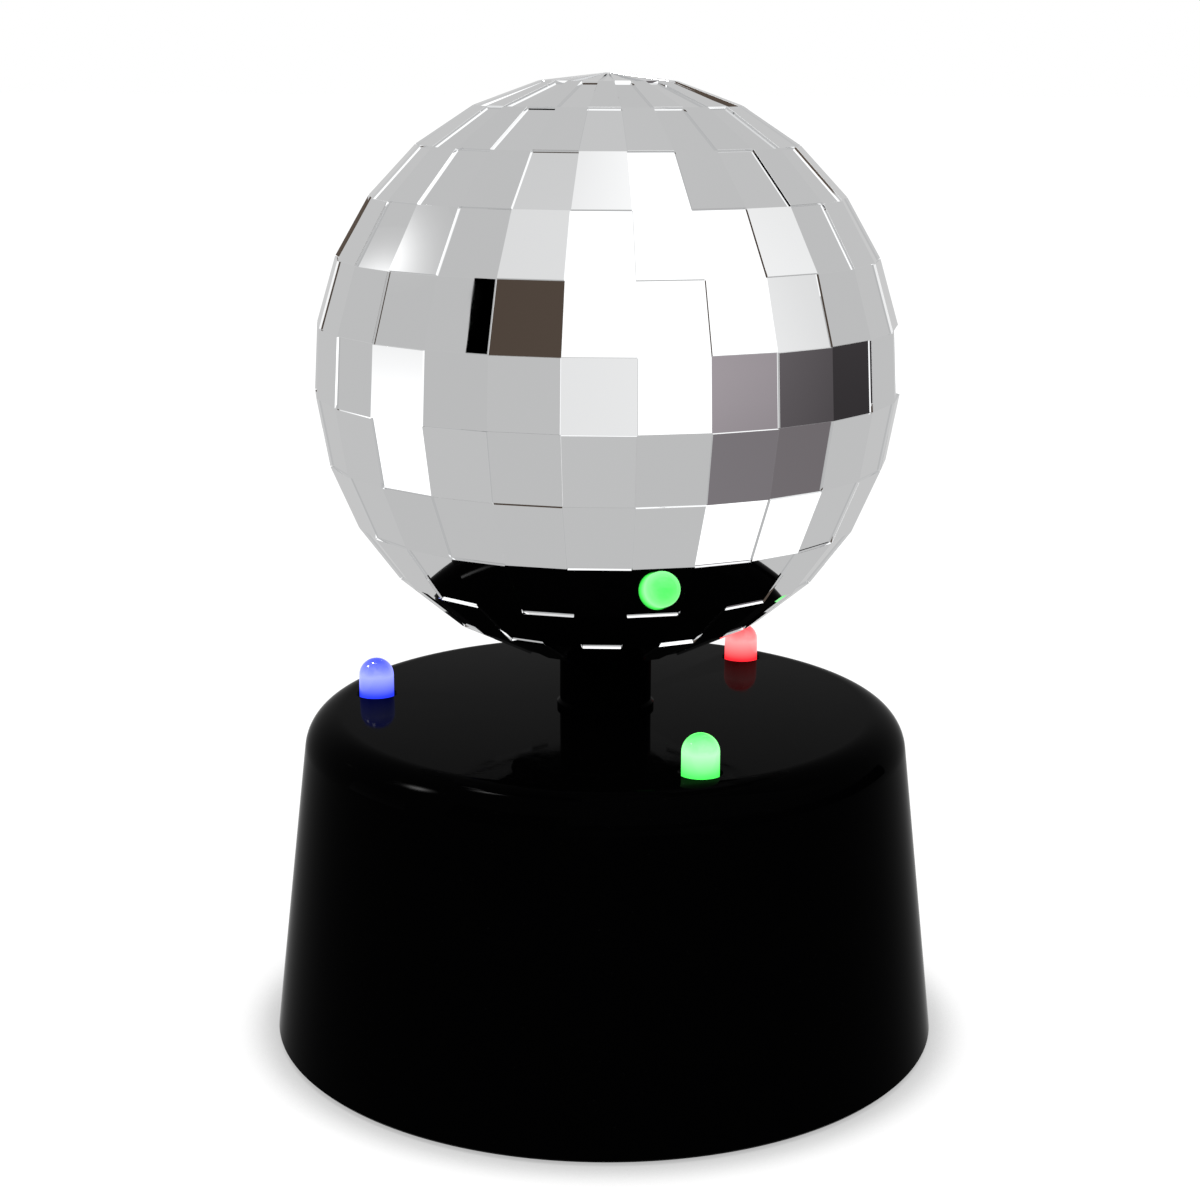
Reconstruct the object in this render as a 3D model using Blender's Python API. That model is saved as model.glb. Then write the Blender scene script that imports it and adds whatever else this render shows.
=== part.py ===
"""Battery table light: a faceted mirror ball turning on a stem above a round base with three LEDs.

Metres, +Z up. The origin is on the ball's axis, on the surface that the feet stand on.
The front of the light looks along -Y. Angles in plan are measured from +X towards +Y,
and azimuths from the front (-Y) towards +X.
"""

import math

import bmesh
import bpy
from mathutils import Matrix, Vector

MM = 0.001
FULL_TURN = 2 * math.pi

# Clearances
GAP = 0.3 * MM
SHAFT_GAP = 0.1 * MM
RUNNING_GAP = 0.6 * MM
OVERRUN = 1.0 * MM
MERGE = 0.0001 * MM
SHARP_ANGLE = math.radians(32)

# Facets of round pieces
BASE_SEGMENTS = 48
STEM_SEGMENTS = 24
ROUND_SEGMENTS = 24
SMALL_SEGMENTS = 12
SCREW_SEGMENTS = 8
SHOULDER_STEPS = 4
DOME_STEPS = 3

# Base housing
RIM_LIFT = 0.4 * MM
BASE_HEIGHT = 46.8 * MM
BASE_RIM_RADIUS = 47.64 * MM
BASE_TOP_RADIUS = 42.16 * MM
BASE_SHOULDER = 5.43 * MM
BASE_WALL = 2.0 * MM
BOSS_RADIUS = 2.6 * MM
PILOT_RADIUS = 1.3 * MM
PILOT_COVER = 0.6 * MM
POST_SPACE = 1.4 * MM
POST_SINK = 1.3 * MM
POST_PILOT = 9.0 * MM

# Screws
SCREW_RADIUS = 1.0 * MM
SCREW_HEAD_RADIUS = 2.0 * MM
SCREW_HEAD = 1.2 * MM
SMALL_SCREW_RADIUS = 0.8 * MM
SMALL_SCREW_HEAD_RADIUS = 1.5 * MM
SMALL_SCREW_HEAD = 0.9 * MM

# Stem
STEM_LENGTH = 10.1 * MM
STEM_RADIUS = 6.5 * MM
STEM_BORE = 4.6 * MM
COLLAR_RADIUS = 6.9 * MM
COLLAR_HEIGHT = 0.8 * MM
SPIGOT_RADIUS = 5.4 * MM
BUSH_LENGTH = 6.0 * MM

# Mirror ball
BALL_RADIUS = 40.0 * MM
BALL_WALL = 2.0 * MM
BALL_COLUMNS = 27
COLUMN_ANGLE = FULL_TURN / BALL_COLUMNS
ROW_ANGLE = COLUMN_ANGLE
COLUMN_START = math.radians(-8)
SEAM_RING = 7
FLOOR_RING = 12
TILE_RELIEF = 0.5 * MM
TILE_LEDGE = 0.12 * MM
TILE_DRAFT = 0.05 * MM
TILE_FACING_SHARE = 0.9
SEAM_GAP = 0.15 * MM
LIP_HEIGHT = 2.5 * MM
LIP_WALL = 1.3 * MM
BALL_FLOOR = 2.0 * MM
HUB_FLANGE_RADIUS = 10.0 * MM
HUB_FLANGE = 1.6 * MM
HUB_BOSS_RADIUS = 3.8 * MM
HUB_BOSS_HEIGHT = 8.0 * MM
HUB_CAP = 1.2 * MM
HUB_SCREW_CIRCLE = 7.0 * MM
HUB_SCREW_LENGTH = 3.2 * MM

# Gear train
MODULE = 0.5 * MM
WHEEL_TEETH = 36
PINION_TEETH = 10
ADDENDUM_SHARE = 1.0
DEDENDUM_SHARE = 1.2
TOOTH_ROOT_SHARE = 0.56
TOOTH_TIP_SHARE = 0.2
GEAR_CENTRES = MODULE * (WHEEL_TEETH + PINION_TEETH) / 2 + SHAFT_GAP
GEAR_FACE = 2.2 * MM
DRIVE_RADIUS = 1.5 * MM
ARBOR_RADIUS = 1.0 * MM
IDLER_2_BEARING = math.radians(90)
IDLER_1_BEARING = math.radians(193)
MOTOR_BEARING = math.radians(270)
GEARBOX_PLATE = 1.5 * MM
GEARBOX_BOSS = 4.0 * MM
GEARBOX_CLEARANCE = 1.0 * MM
PILLAR_INSET = 3.5 * MM
PILLAR_ANGLES = (math.radians(-125), math.radians(-10), math.radians(60))
THRUST_CUP_RADIUS = 3.0 * MM

# Motor
MOTOR_RADIUS = 12.2 * MM
MOTOR_WALL = 0.8 * MM
MOTOR_SHAFT_RADIUS = 1.0 * MM
MOTOR_CAP = 1.6 * MM
MOTOR_SCREW_CIRCLE = 6.0 * MM
MAGNET_WALL = 2.1 * MM
ARMATURE_GAP = 0.6 * MM
ARMATURE_ENDPLAY = 1.0 * MM
TERMINAL_LENGTH = 2.4 * MM
TERMINAL_WIDTH = 1.6 * MM
TERMINAL_THICKNESS = 0.5 * MM
TERMINAL_ANGLES = (math.radians(215), math.radians(245))

# LEDs and their board
LED_RADIUS = 2.5 * MM
LED_FLANGE_RADIUS = 2.95 * MM
LED_FLANGE = 1.0 * MM
LED_LENGTH = 8.6 * MM
LED_FIT = 0.15 * MM
LED_INSET = 3.73 * MM
LED_LEG = 0.5 * MM
LED_LEG_SPACING = 2.54 * MM
LED_LEG_RUN = 0.9 * MM
LED_AZIMUTHS = {
    "green": math.radians(21.5),
    "red": math.radians(141.5),
    "blue": math.radians(261.5),
}
BOARD_THICKNESS = 1.6 * MM
BOARD_BOSS = 5.3 * MM
BOARD_INNER_REACH = 7.6 * MM
BOARD_OUTER_REACH = 2.4 * MM
BOARD_SCREW_INSET = 2.6 * MM
RESISTOR_LENGTH = 3.2 * MM
RESISTOR_WIDTH = 1.6 * MM
RESISTOR_HEIGHT = 0.6 * MM

# Cells and their bay
CELL_RADIUS = 7.25 * MM
CELL_LENGTH = 50.5 * MM
CELL_NUB_RADIUS = 2.75 * MM
CELL_NUB = 1.3 * MM
CELL_COUNT = 3
CONTACT_THICKNESS = 0.4 * MM
CONTACT_WIDTH = 9.0 * MM
CONTACT_HEIGHT = 10.0 * MM
CONTACT_TAB = 4.0 * MM
CONTACT_TAB_WIDTH = 2.4 * MM
SPRING_LENGTH = 5.2 * MM
SPRING_WIRE = 0.45 * MM
SPRING_FOOT_RADIUS = 4.2 * MM
SPRING_TIP_RADIUS = 2.6 * MM
SPRING_TURNS = 3
SPRING_POINTS_PER_TURN = 10
BAY_WALL = 1.4 * MM
BAY_ROOF = 1.2 * MM
RIB_THICKNESS = 0.7 * MM
RIB_DEPTH = 4.4 * MM

# Base plate, door and feet
PLATE_RECESS = 0.8 * MM
PLATE_THICKNESS = 2.4 * MM
PLATE_SCREW_SEAT = 1.3 * MM
PLATE_SCREW_LENGTH = 8.0 * MM
DOOR_THICKNESS = 1.6 * MM
DOOR_LEDGE = 1.1 * MM
DOOR_EAR = 5.2 * MM
DOOR_EAR_WIDTH = 8.0 * MM
DOOR_SCREW_SEAT = 0.8 * MM
DOOR_SCREW_LENGTH = 6.0 * MM
DOOR_SCREW_HEAD = 0.8 * MM
DOOR_BOSS_HEIGHT = 5.0 * MM
DOOR_TAB_LENGTH = 2.0 * MM
DOOR_TAB_WIDTH = 8.0 * MM
DOOR_TAB_THICKNESS = 0.7 * MM
DOOR_TAB_SPACING = 24.0 * MM
FOOT_RADIUS = 4.0 * MM
FOOT_INSET = 5.0 * MM
FOOT_AZIMUTH = math.radians(28)

# Slide switch
SWITCH_LENGTH = 12.0 * MM
SWITCH_DEPTH = 5.5 * MM
SWITCH_HEIGHT = 6.0 * MM
SWITCH_RISE = 11.2 * MM
SWITCH_SLOT_DEPTH = 2.0 * MM
SWITCH_PIN = 0.8 * MM
SWITCH_PIN_LENGTH = 2.0 * MM
SWITCH_PIN_SPACING = 2.5 * MM
KNOB_WIDTH = 4.0 * MM
KNOB_HEIGHT = 3.0 * MM
KNOB_PROUD = 0.9 * MM
KNOB_TRAVEL = 4.0 * MM
POCKET_WALL = 1.4 * MM

# Wires
LEAD_RADIUS = 0.6 * MM
LEAD_RISE = 4.0 * MM
LEAD_STEPS = 3

# Levels of the base, from the feet upwards
TOP_Z = RIM_LIFT + BASE_HEIGHT
ROOF_Z = TOP_Z - BASE_WALL
PLATE_Z = RIM_LIFT + PLATE_RECESS
PLATE_TOP_Z = PLATE_Z + PLATE_THICKNESS
CELL_Z = PLATE_Z + DOOR_THICKNESS + GAP + CELL_RADIUS
BAY_ROOF_Z = CELL_Z + CELL_RADIUS + GAP
BAY_TOP_Z = BAY_ROOF_Z + BAY_ROOF
MOTOR_Z = BAY_TOP_Z + GAP
SWITCH_Z = PLATE_Z + SWITCH_RISE

# Levels of the gearbox, from the roof of the housing downwards
UPPER_PLATE_TOP_Z = ROOF_Z - GEARBOX_BOSS - GAP
UPPER_PLATE_Z = UPPER_PLATE_TOP_Z - GEARBOX_PLATE
LAYER_STEP = GEAR_FACE + GAP
LAYER_C_Z = UPPER_PLATE_Z - LAYER_STEP
LAYER_B_Z = LAYER_C_Z - LAYER_STEP
LAYER_A_Z = LAYER_B_Z - LAYER_STEP
LOWER_PLATE_TOP_Z = LAYER_A_Z - GAP
LOWER_PLATE_Z = LOWER_PLATE_TOP_Z - GEARBOX_PLATE
MOTOR_TOP_Z = LOWER_PLATE_Z - GAP
BOARD_TOP_Z = ROOF_Z - BOARD_BOSS - GAP
BOARD_Z = BOARD_TOP_Z - BOARD_THICKNESS

# Levels of the ball
BALL_FLOOR_Z = TOP_Z + STEM_LENGTH
BALL_Z = BALL_FLOOR_Z - BALL_RADIUS * math.sin(math.pi / 2 - FLOOR_RING * ROW_ANGLE)
HUB_FLANGE_Z = BALL_FLOOR_Z + BALL_FLOOR + GAP
HUB_TOP_Z = HUB_FLANGE_Z + HUB_FLANGE + HUB_BOSS_HEIGHT
STEM_TOP_Z = BALL_FLOOR_Z - RUNNING_GAP

# The side of the housing leans inwards, and an arc rounds its shoulder
SIDE_LENGTH = math.hypot(BASE_HEIGHT, BASE_RIM_RADIUS - BASE_TOP_RADIUS)
SIDE_OUT = BASE_HEIGHT / SIDE_LENGTH
SIDE_UP = (BASE_RIM_RADIUS - BASE_TOP_RADIUS) / SIDE_LENGTH
SHOULDER_Z = BASE_HEIGHT - BASE_SHOULDER
SHOULDER_X = BASE_RIM_RADIUS - (BASE_SHOULDER + SHOULDER_Z * SIDE_UP) / SIDE_OUT


def side_radius(level, depth):
    """Radius of the leaning side at a level above the surface, at a depth below the outer face."""
    return BASE_RIM_RADIUS - ((level - RIM_LIFT) * SIDE_UP + depth) / SIDE_OUT


# Places in plan
LED_CIRCLE = SHOULDER_X - LED_INSET
BOARD_INNER = LED_CIRCLE - BOARD_INNER_REACH
BOARD_OUTER = LED_CIRCLE + BOARD_OUTER_REACH
BOARD_SCREW_CIRCLE = LED_CIRCLE - BOARD_SCREW_INSET
GEARBOX_RADIUS = BOARD_INNER - GEARBOX_CLEARANCE
PILLAR_CIRCLE = GEARBOX_RADIUS - PILLAR_INSET
PLATE_RADIUS = side_radius(PLATE_TOP_Z, BASE_WALL) - GAP
FOOT_CIRCLE = PLATE_RADIUS - FOOT_INSET
CELL_STEP = 2 * CELL_RADIUS + GAP + SHAFT_GAP
BAY_HALF_WIDTH = CELL_STEP * (CELL_COUNT - 1) / 2 + CELL_RADIUS + GAP
CONTACT_ROOM = CONTACT_THICKNESS + 2 * GAP
BAY_HALF_LENGTH = (CELL_LENGTH + SPRING_LENGTH + GAP) / 2 + CONTACT_ROOM
BAY_OUTER_WIDTH = BAY_HALF_WIDTH + BAY_WALL
BAY_OUTER_LENGTH = BAY_HALF_LENGTH + BAY_WALL
RECESS_HALF_WIDTH = BAY_HALF_WIDTH + DOOR_LEDGE
RECESS_HALF_LENGTH = BAY_HALF_LENGTH + DOOR_LEDGE
POST_CIRCLE = SHOULDER_X + BASE_SHOULDER - BASE_WALL + POST_SINK - BOSS_RADIUS
POST_Y = BAY_OUTER_WIDTH + POST_SPACE + BOSS_RADIUS
POST_X = math.sqrt(POST_CIRCLE**2 - POST_Y**2)
DOOR_SCREW_X = RECESS_HALF_LENGTH + DOOR_EAR / 2
SWITCH_FRONT_Y = side_radius(SWITCH_Z + SWITCH_HEIGHT, BASE_WALL) - 3 * GAP
SWITCH_BACK_Y = SWITCH_FRONT_Y - SWITCH_DEPTH
KNOB_TIP_Y = side_radius(SWITCH_Z, 0) + KNOB_PROUD


def polar(radius, angle):
    return radius * math.cos(angle), radius * math.sin(angle)


def from_front(radius, azimuth):
    return radius * math.sin(azimuth), -radius * math.cos(azimuth)


def step_from(place, bearing):
    across, along = polar(GEAR_CENTRES, bearing)
    return place[0] + across, place[1] + along


AXIS = (0.0, 0.0)
IDLER_2_AT = step_from(AXIS, IDLER_2_BEARING)
IDLER_1_AT = step_from(IDLER_2_AT, IDLER_1_BEARING)
MOTOR_AT = step_from(IDLER_1_AT, MOTOR_BEARING)
PILLARS = [polar(PILLAR_CIRCLE, angle) for angle in PILLAR_ANGLES]
LED_PLACES = {name: from_front(LED_CIRCLE, az) for name, az in LED_AZIMUTHS.items()}
BOARD_SCREWS = [
    from_front(BOARD_SCREW_CIRCLE, azimuth + FULL_TURN / 6) for azimuth in LED_AZIMUTHS.values()
]
POSTS = [(sx * POST_X, sy * POST_Y) for sx in (-1, 1) for sy in (-1, 1)]
MOTOR_SCREWS = [(MOTOR_AT[0] + side * MOTOR_SCREW_CIRCLE, MOTOR_AT[1]) for side in (-1, 1)]
CELL_ROWS = [CELL_STEP * (index - (CELL_COUNT - 1) / 2) for index in range(CELL_COUNT)]


def material(name, colour, roughness, metallic):
    """A plain surface with its own colour, roughness and metallic value."""
    made = bpy.data.materials.new(name)
    made.use_nodes = True
    shader = made.node_tree.nodes["Principled BSDF"]
    shader.inputs["Base Color"].default_value = (*colour, 1)
    shader.inputs["Roughness"].default_value = roughness
    shader.inputs["Metallic"].default_value = metallic
    return made


def empty(name, place, parent=None):
    made = bpy.data.objects.new(name, None)
    made.location = place
    made.parent = parent
    bpy.context.scene.collection.objects.link(made)
    return made


def add_object(name, mesh, parent, place):
    """Links a mesh at a place in the light's frame, under an unrotated parent."""
    made = bpy.data.objects.new(name, mesh)
    made.parent = parent
    base = Vector((0, 0, 0))
    holder = parent
    while holder:
        base += holder.location
        holder = holder.parent
    made.location = Vector(place) - base
    bpy.context.scene.collection.objects.link(made)
    return made


def solid(name, build, surface, parent, place):
    """An object from a bmesh that its build function fills."""
    form = bmesh.new()
    build(form)
    bmesh.ops.recalc_face_normals(form, faces=form.faces)
    mesh = bpy.data.meshes.new(name)
    form.to_mesh(mesh)
    form.free()
    mesh.shade_smooth()
    mesh.set_sharp_from_angle(angle=SHARP_ANGLE)
    mesh.materials.append(surface)
    return add_object(name, mesh, parent, place)


def combine(target, label, operation, build):
    """Joins a shape to the target or cuts it away. The shape is built in the target's own frame."""
    form = bmesh.new()
    build(form)
    bmesh.ops.recalc_face_normals(form, faces=form.faces)
    mesh = bpy.data.meshes.new(f"{target.name}_{label}")
    form.to_mesh(mesh)
    form.free()
    helper = bpy.data.objects.new(f"{target.name}_{label}", mesh)
    helper.parent = target
    helper.hide_render = True
    helper.display_type = "WIRE"
    bpy.context.scene.collection.objects.link(helper)
    modifier = target.modifiers.new(label, "BOOLEAN")
    modifier.object = helper
    modifier.operation = operation
    modifier.solver = "EXACT"


def join(target, label, build):
    combine(target, label, "UNION", build)


def cut(target, label, build):
    combine(target, label, "DIFFERENCE", build)


def turned(form, profile, segments, at=AXIS, start=0.0):
    """Spins a profile of (radius, height) points about an upright axis."""
    across, up = math.cos(start), math.sin(start)
    corners = [form.verts.new((r * across, r * up, z)) for r, z in profile]
    pairs = list(zip(corners, corners[1:]))
    if profile[0][0] > 0:
        pairs.append((corners[-1], corners[0]))
    edges = [form.edges.new(pair) for pair in pairs]
    before = set(form.verts) - set(corners)
    bmesh.ops.spin(
        form,
        geom=corners + edges,
        cent=(0, 0, 0),
        axis=(0, 0, 1),
        angle=FULL_TURN,
        steps=segments,
        use_merge=True,
    )
    made = [vert for vert in form.verts if vert not in before]
    bmesh.ops.remove_doubles(form, verts=made, dist=MERGE)
    made = [vert for vert in form.verts if vert not in before]
    bmesh.ops.translate(form, verts=made, vec=(at[0], at[1], 0))


def add_cylinder(form, radius, bottom, top, segments=SMALL_SEGMENTS, at=AXIS):
    turned(form, [(0, bottom), (radius, bottom), (radius, top), (0, top)], segments, at)


def add_ring(form, inner, outer, bottom, top, segments):
    turned(form, [(inner, bottom), (outer, bottom), (outer, top), (inner, top)], segments)


def add_box(form, low, high):
    size = [b - a for a, b in zip(low, high)]
    middle = [(a + b) / 2 for a, b in zip(low, high)]
    where = Matrix.Translation(middle) @ Matrix.Diagonal((*size, 1))
    bmesh.ops.create_cube(form, size=1, matrix=where)


def add_prism(form, outline, bottom, top):
    """Extrudes a closed outline in plan between two heights."""
    face = form.faces.new([form.verts.new((x, y, bottom)) for x, y in outline])
    moved = bmesh.ops.extrude_face_region(form, geom=[face])["geom"]
    lifted = [item for item in moved if isinstance(item, bmesh.types.BMVert)]
    bmesh.ops.translate(form, verts=lifted, vec=(0, 0, top - bottom))


def shoulder_arc(depth):
    """Points of the housing's shoulder at a depth below its outer face, from the side to the top."""
    first = math.atan2(SIDE_UP, SIDE_OUT)
    turn = (math.pi / 2 - first) / SHOULDER_STEPS
    radius = BASE_SHOULDER - depth
    points = []
    for step in range(SHOULDER_STEPS + 1):
        across, up = polar(radius, first + step * turn)
        points.append((SHOULDER_X + across, SHOULDER_Z + up))
    return points


def base_housing(parent, surface):
    """The moulded shell, with its rim at height zero of its own frame."""
    hole = SPIGOT_RADIUS + GAP
    roof = ROOF_Z - RIM_LIFT
    outside = [(BASE_RIM_RADIUS, 0)] + shoulder_arc(0) + [(hole, BASE_HEIGHT)]
    inside = [(BASE_RIM_RADIUS - BASE_WALL / SIDE_OUT, 0)] + shoulder_arc(BASE_WALL) + [(hole, roof)]
    housing = solid(
        "base_housing",
        lambda form: turned(form, outside + inside[::-1], BASE_SEGMENTS),
        surface,
        parent,
        (0, 0, RIM_LIFT),
    )
    sunk = roof + BASE_WALL / 2

    def bosses(form):
        for at in POSTS:
            add_cylinder(form, BOSS_RADIUS, PLATE_TOP_Z + GAP - RIM_LIFT, SHOULDER_Z, SMALL_SEGMENTS, at)
        for at in BOARD_SCREWS:
            add_cylinder(form, BOSS_RADIUS, BOARD_TOP_Z + GAP - RIM_LIFT, sunk, SMALL_SEGMENTS, at)
        for at in PILLARS:
            add_cylinder(form, BOSS_RADIUS, UPPER_PLATE_TOP_Z + GAP - RIM_LIFT, sunk, SMALL_SEGMENTS, at)

    def pilots(form):
        for at in POSTS:
            low = PLATE_TOP_Z - RIM_LIFT
            add_cylinder(form, PILOT_RADIUS, low, low + POST_PILOT, SCREW_SEGMENTS, at)
        for at in BOARD_SCREWS:
            low = BOARD_TOP_Z - RIM_LIFT
            add_cylinder(form, PILOT_RADIUS, low, roof - PILOT_COVER, SCREW_SEGMENTS, at)
        for at in PILLARS:
            low = UPPER_PLATE_TOP_Z - RIM_LIFT
            add_cylinder(form, PILOT_RADIUS, low, roof - PILOT_COVER, SCREW_SEGMENTS, at)

    def led_holes(form):
        for at in LED_PLACES.values():
            reach = LED_RADIUS + LED_FIT
            add_cylinder(form, reach, roof - OVERRUN, BASE_HEIGHT + OVERRUN, SMALL_SEGMENTS, at)

    join(housing, "bosses", bosses)
    join(housing, "switch_pocket", switch_pocket)
    cut(housing, "pilots", pilots)
    cut(housing, "led_holes", led_holes)
    cut(housing, "switch_slot", switch_slot)
    return housing


def switch_pocket(form):
    """Two cheeks and a shelf behind the back wall hold the switch. It slides in from below."""
    inner = SWITCH_LENGTH / 2 + GAP
    outer = inner + POCKET_WALL
    ceiling = SWITCH_Z + SWITCH_HEIGHT / 2 + GAP - RIM_LIFT
    floor = SWITCH_Z - SWITCH_HEIGHT / 2 - RIM_LIFT
    top = ceiling + POCKET_WALL
    outline = [
        (-outer, floor),
        (-inner, floor),
        (-inner, ceiling),
        (inner, ceiling),
        (inner, floor),
        (outer, floor),
        (outer, top),
        (-outer, top),
    ]
    near = SWITCH_BACK_Y
    far = math.sqrt(side_radius(top + RIM_LIFT, BASE_WALL / 2) ** 2 - outer**2)
    face = form.faces.new([form.verts.new((x, near, z)) for x, z in outline])
    moved = bmesh.ops.extrude_face_region(form, geom=[face])["geom"]
    lifted = [item for item in moved if isinstance(item, bmesh.types.BMVert)]
    bmesh.ops.translate(form, verts=lifted, vec=(0, far - near, 0))


def switch_slot(form):
    reach = (KNOB_WIDTH + KNOB_TRAVEL) / 2 + GAP
    half = KNOB_HEIGHT / 2 + GAP
    middle = SWITCH_Z - RIM_LIFT
    low = (-reach, SWITCH_FRONT_Y, middle - half)
    add_box(form, low, (reach, BASE_RIM_RADIUS + OVERRUN, middle + half))


def neck_tube(parent, surface):
    """The stem: a collar rests on the housing, and a spigot passes down through it."""
    foot = TOP_Z + GAP
    profile = [
        (STEM_BORE, UPPER_PLATE_TOP_Z + GAP - foot),
        (SPIGOT_RADIUS, UPPER_PLATE_TOP_Z + GAP - foot),
        (SPIGOT_RADIUS, 0),
        (COLLAR_RADIUS, 0),
        (COLLAR_RADIUS, COLLAR_HEIGHT),
        (STEM_RADIUS, COLLAR_HEIGHT),
        (STEM_RADIUS, STEM_TOP_Z - foot),
        (STEM_BORE, STEM_TOP_Z - foot),
    ]
    solid("neck_tube", lambda form: turned(form, profile, STEM_SEGMENTS), surface, parent, (0, 0, foot))


def neck_bush(parent, surface):
    solid(
        "neck_bush",
        lambda form: add_ring(
            form, DRIVE_RADIUS + SHAFT_GAP, STEM_BORE - SHAFT_GAP, 0, BUSH_LENGTH, STEM_SEGMENTS
        ),
        surface,
        parent,
        (0, 0, STEM_TOP_Z - RUNNING_GAP - BUSH_LENGTH),
    )


def ring_point(radius, ring):
    """Where ring number ring of the ball's facets meets a column edge, as (radius, height)."""
    return polar(radius, math.pi / 2 - ring * ROW_ANGLE)


def skin_radius(radius, height):
    """Corner radius of the facets at a height between two rings."""
    for ring in range(FLOOR_RING + 1):
        upper = ring_point(radius, ring)
        lower = ring_point(radius, ring + 1)
        if lower[1] <= height <= upper[1]:
            share = (upper[1] - height) / (upper[1] - lower[1])
            return upper[0] + share * (lower[0] - upper[0])
    return 0


def raise_tiles(form):
    """Lifts every second facet of the outer skin, like a chess board.

    Columns count both ways from the front. Their odd number leaves two alike side by side at the back.
    """
    raised = []
    for face in form.faces:
        centre = face.calc_center_median()
        facing = face.normal.dot(centre.normalized())
        if centre.length < BALL_RADIUS - BALL_WALL / 2 or facing < TILE_FACING_SHARE:
            continue
        latitude = math.atan2(centre.z, math.hypot(centre.x, centre.y))
        row = math.floor((math.pi / 2 - latitude) / ROW_ANGLE)
        azimuth = math.atan2(centre.x, -centre.y) - COLUMN_START
        column = math.floor(azimuth / COLUMN_ANGLE)
        if row < FLOOR_RING and (row + column) % 2:
            raised.append(face)
    for inset, lift in ((TILE_LEDGE, 0), (TILE_DRAFT, TILE_RELIEF)):
        bmesh.ops.inset_individual(form, faces=raised, thickness=inset, depth=lift, use_even_offset=True)


def ball_skin(form, profile):
    turned(form, profile, BALL_COLUMNS, start=COLUMN_START - math.pi / 2)
    bmesh.ops.recalc_face_normals(form, faces=form.faces)
    raise_tiles(form)


def ball_upper_shell(parent, surface):
    """From the pole to the seam. Its own frame is centred on the ball."""
    inside = BALL_RADIUS - BALL_WALL
    seam = ring_point(BALL_RADIUS, SEAM_RING)[1]
    outer = [ring_point(BALL_RADIUS, ring) for ring in range(SEAM_RING + 1)]
    inner = [ring_point(inside, ring) for ring in range(SEAM_RING)]
    rim = [(math.sqrt(inside**2 - seam**2), seam)]
    profile = outer + rim + inner[::-1]
    profile[0] = (0, BALL_RADIUS)
    profile[-1] = (0, inside)
    solid("ball_upper_shell", lambda form: ball_skin(form, profile), surface, parent, (0, 0, BALL_Z))


def ball_lower_shell(parent, surface):
    """From the seam to the flat floor, with a lip that locates the upper half."""
    inside = BALL_RADIUS - BALL_WALL
    seam = ring_point(BALL_RADIUS, SEAM_RING)[1]
    rim = seam - SEAM_GAP
    floor = ring_point(BALL_RADIUS, FLOOR_RING)[1]
    floor_top = floor + BALL_FLOOR
    lip = skin_radius(inside, seam + LIP_HEIGHT) - GAP
    outer = [ring_point(BALL_RADIUS, ring) for ring in range(FLOOR_RING, SEAM_RING, -1)]
    inner = [ring_point(inside, ring) for ring in range(SEAM_RING + 1, FLOOR_RING)]
    profile = [(0, floor)] + outer
    profile += [(skin_radius(BALL_RADIUS, rim), rim), (lip, rim), (lip, seam + LIP_HEIGHT)]
    profile += [(lip - LIP_WALL, seam + LIP_HEIGHT), (lip - LIP_WALL, rim - LIP_HEIGHT)]
    profile += inner + [(skin_radius(inside, floor_top), floor_top), (0, floor_top)]
    shell = solid("ball_lower_shell", lambda form: ball_skin(form, profile), surface, parent, (0, 0, BALL_Z))

    def openings(form):
        add_cylinder(form, HUB_BOSS_RADIUS + GAP, floor - OVERRUN, floor_top + OVERRUN, ROUND_SEGMENTS)
        for side in (-1, 1):
            at = (side * HUB_SCREW_CIRCLE, 0)
            add_cylinder(form, PILOT_RADIUS, floor + PILOT_COVER, floor_top + OVERRUN, SCREW_SEGMENTS, at)

    cut(shell, "openings", openings)


def ball_hub(parent, surface):
    """The flange lies on the ball's floor, and a blind bore takes the shaft from below."""
    flange = HUB_FLANGE_Z - BALL_FLOOR_Z
    top = HUB_TOP_Z - BALL_FLOOR_Z
    bore = DRIVE_RADIUS + SHAFT_GAP
    profile = [
        (bore, 0),
        (HUB_BOSS_RADIUS, 0),
        (HUB_BOSS_RADIUS, flange),
        (HUB_FLANGE_RADIUS, flange),
        (HUB_FLANGE_RADIUS, flange + HUB_FLANGE),
        (HUB_BOSS_RADIUS, flange + HUB_FLANGE),
        (HUB_BOSS_RADIUS, top),
        (0, top),
        (0, top - HUB_CAP),
        (bore, top - HUB_CAP),
    ]

    def body(form):
        turned(form, profile, ROUND_SEGMENTS)

    hub = solid("ball_hub", body, surface, parent, (0, 0, BALL_FLOOR_Z))

    def screw_holes(form):
        for side in (-1, 1):
            at = (side * HUB_SCREW_CIRCLE, 0)
            high = flange + HUB_FLANGE + OVERRUN
            add_cylinder(form, PILOT_RADIUS, flange - OVERRUN, high, SCREW_SEGMENTS, at)

    cut(hub, "screw_holes", screw_holes)


def screw(name, sizes, place, parent, surface, downwards=False):
    """A pan-head screw: sizes are shank radius, length, head radius and head height."""
    shank, length, head, height = sizes
    profile = [(0, -height), (head, -height), (head, 0), (shank, 0), (shank, length), (0, length)]
    made = solid(name, lambda form: turned(form, profile, SCREW_SEGMENTS), surface, parent, place)
    if downwards:
        made.rotation_euler = (math.pi, 0, 0)


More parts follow.
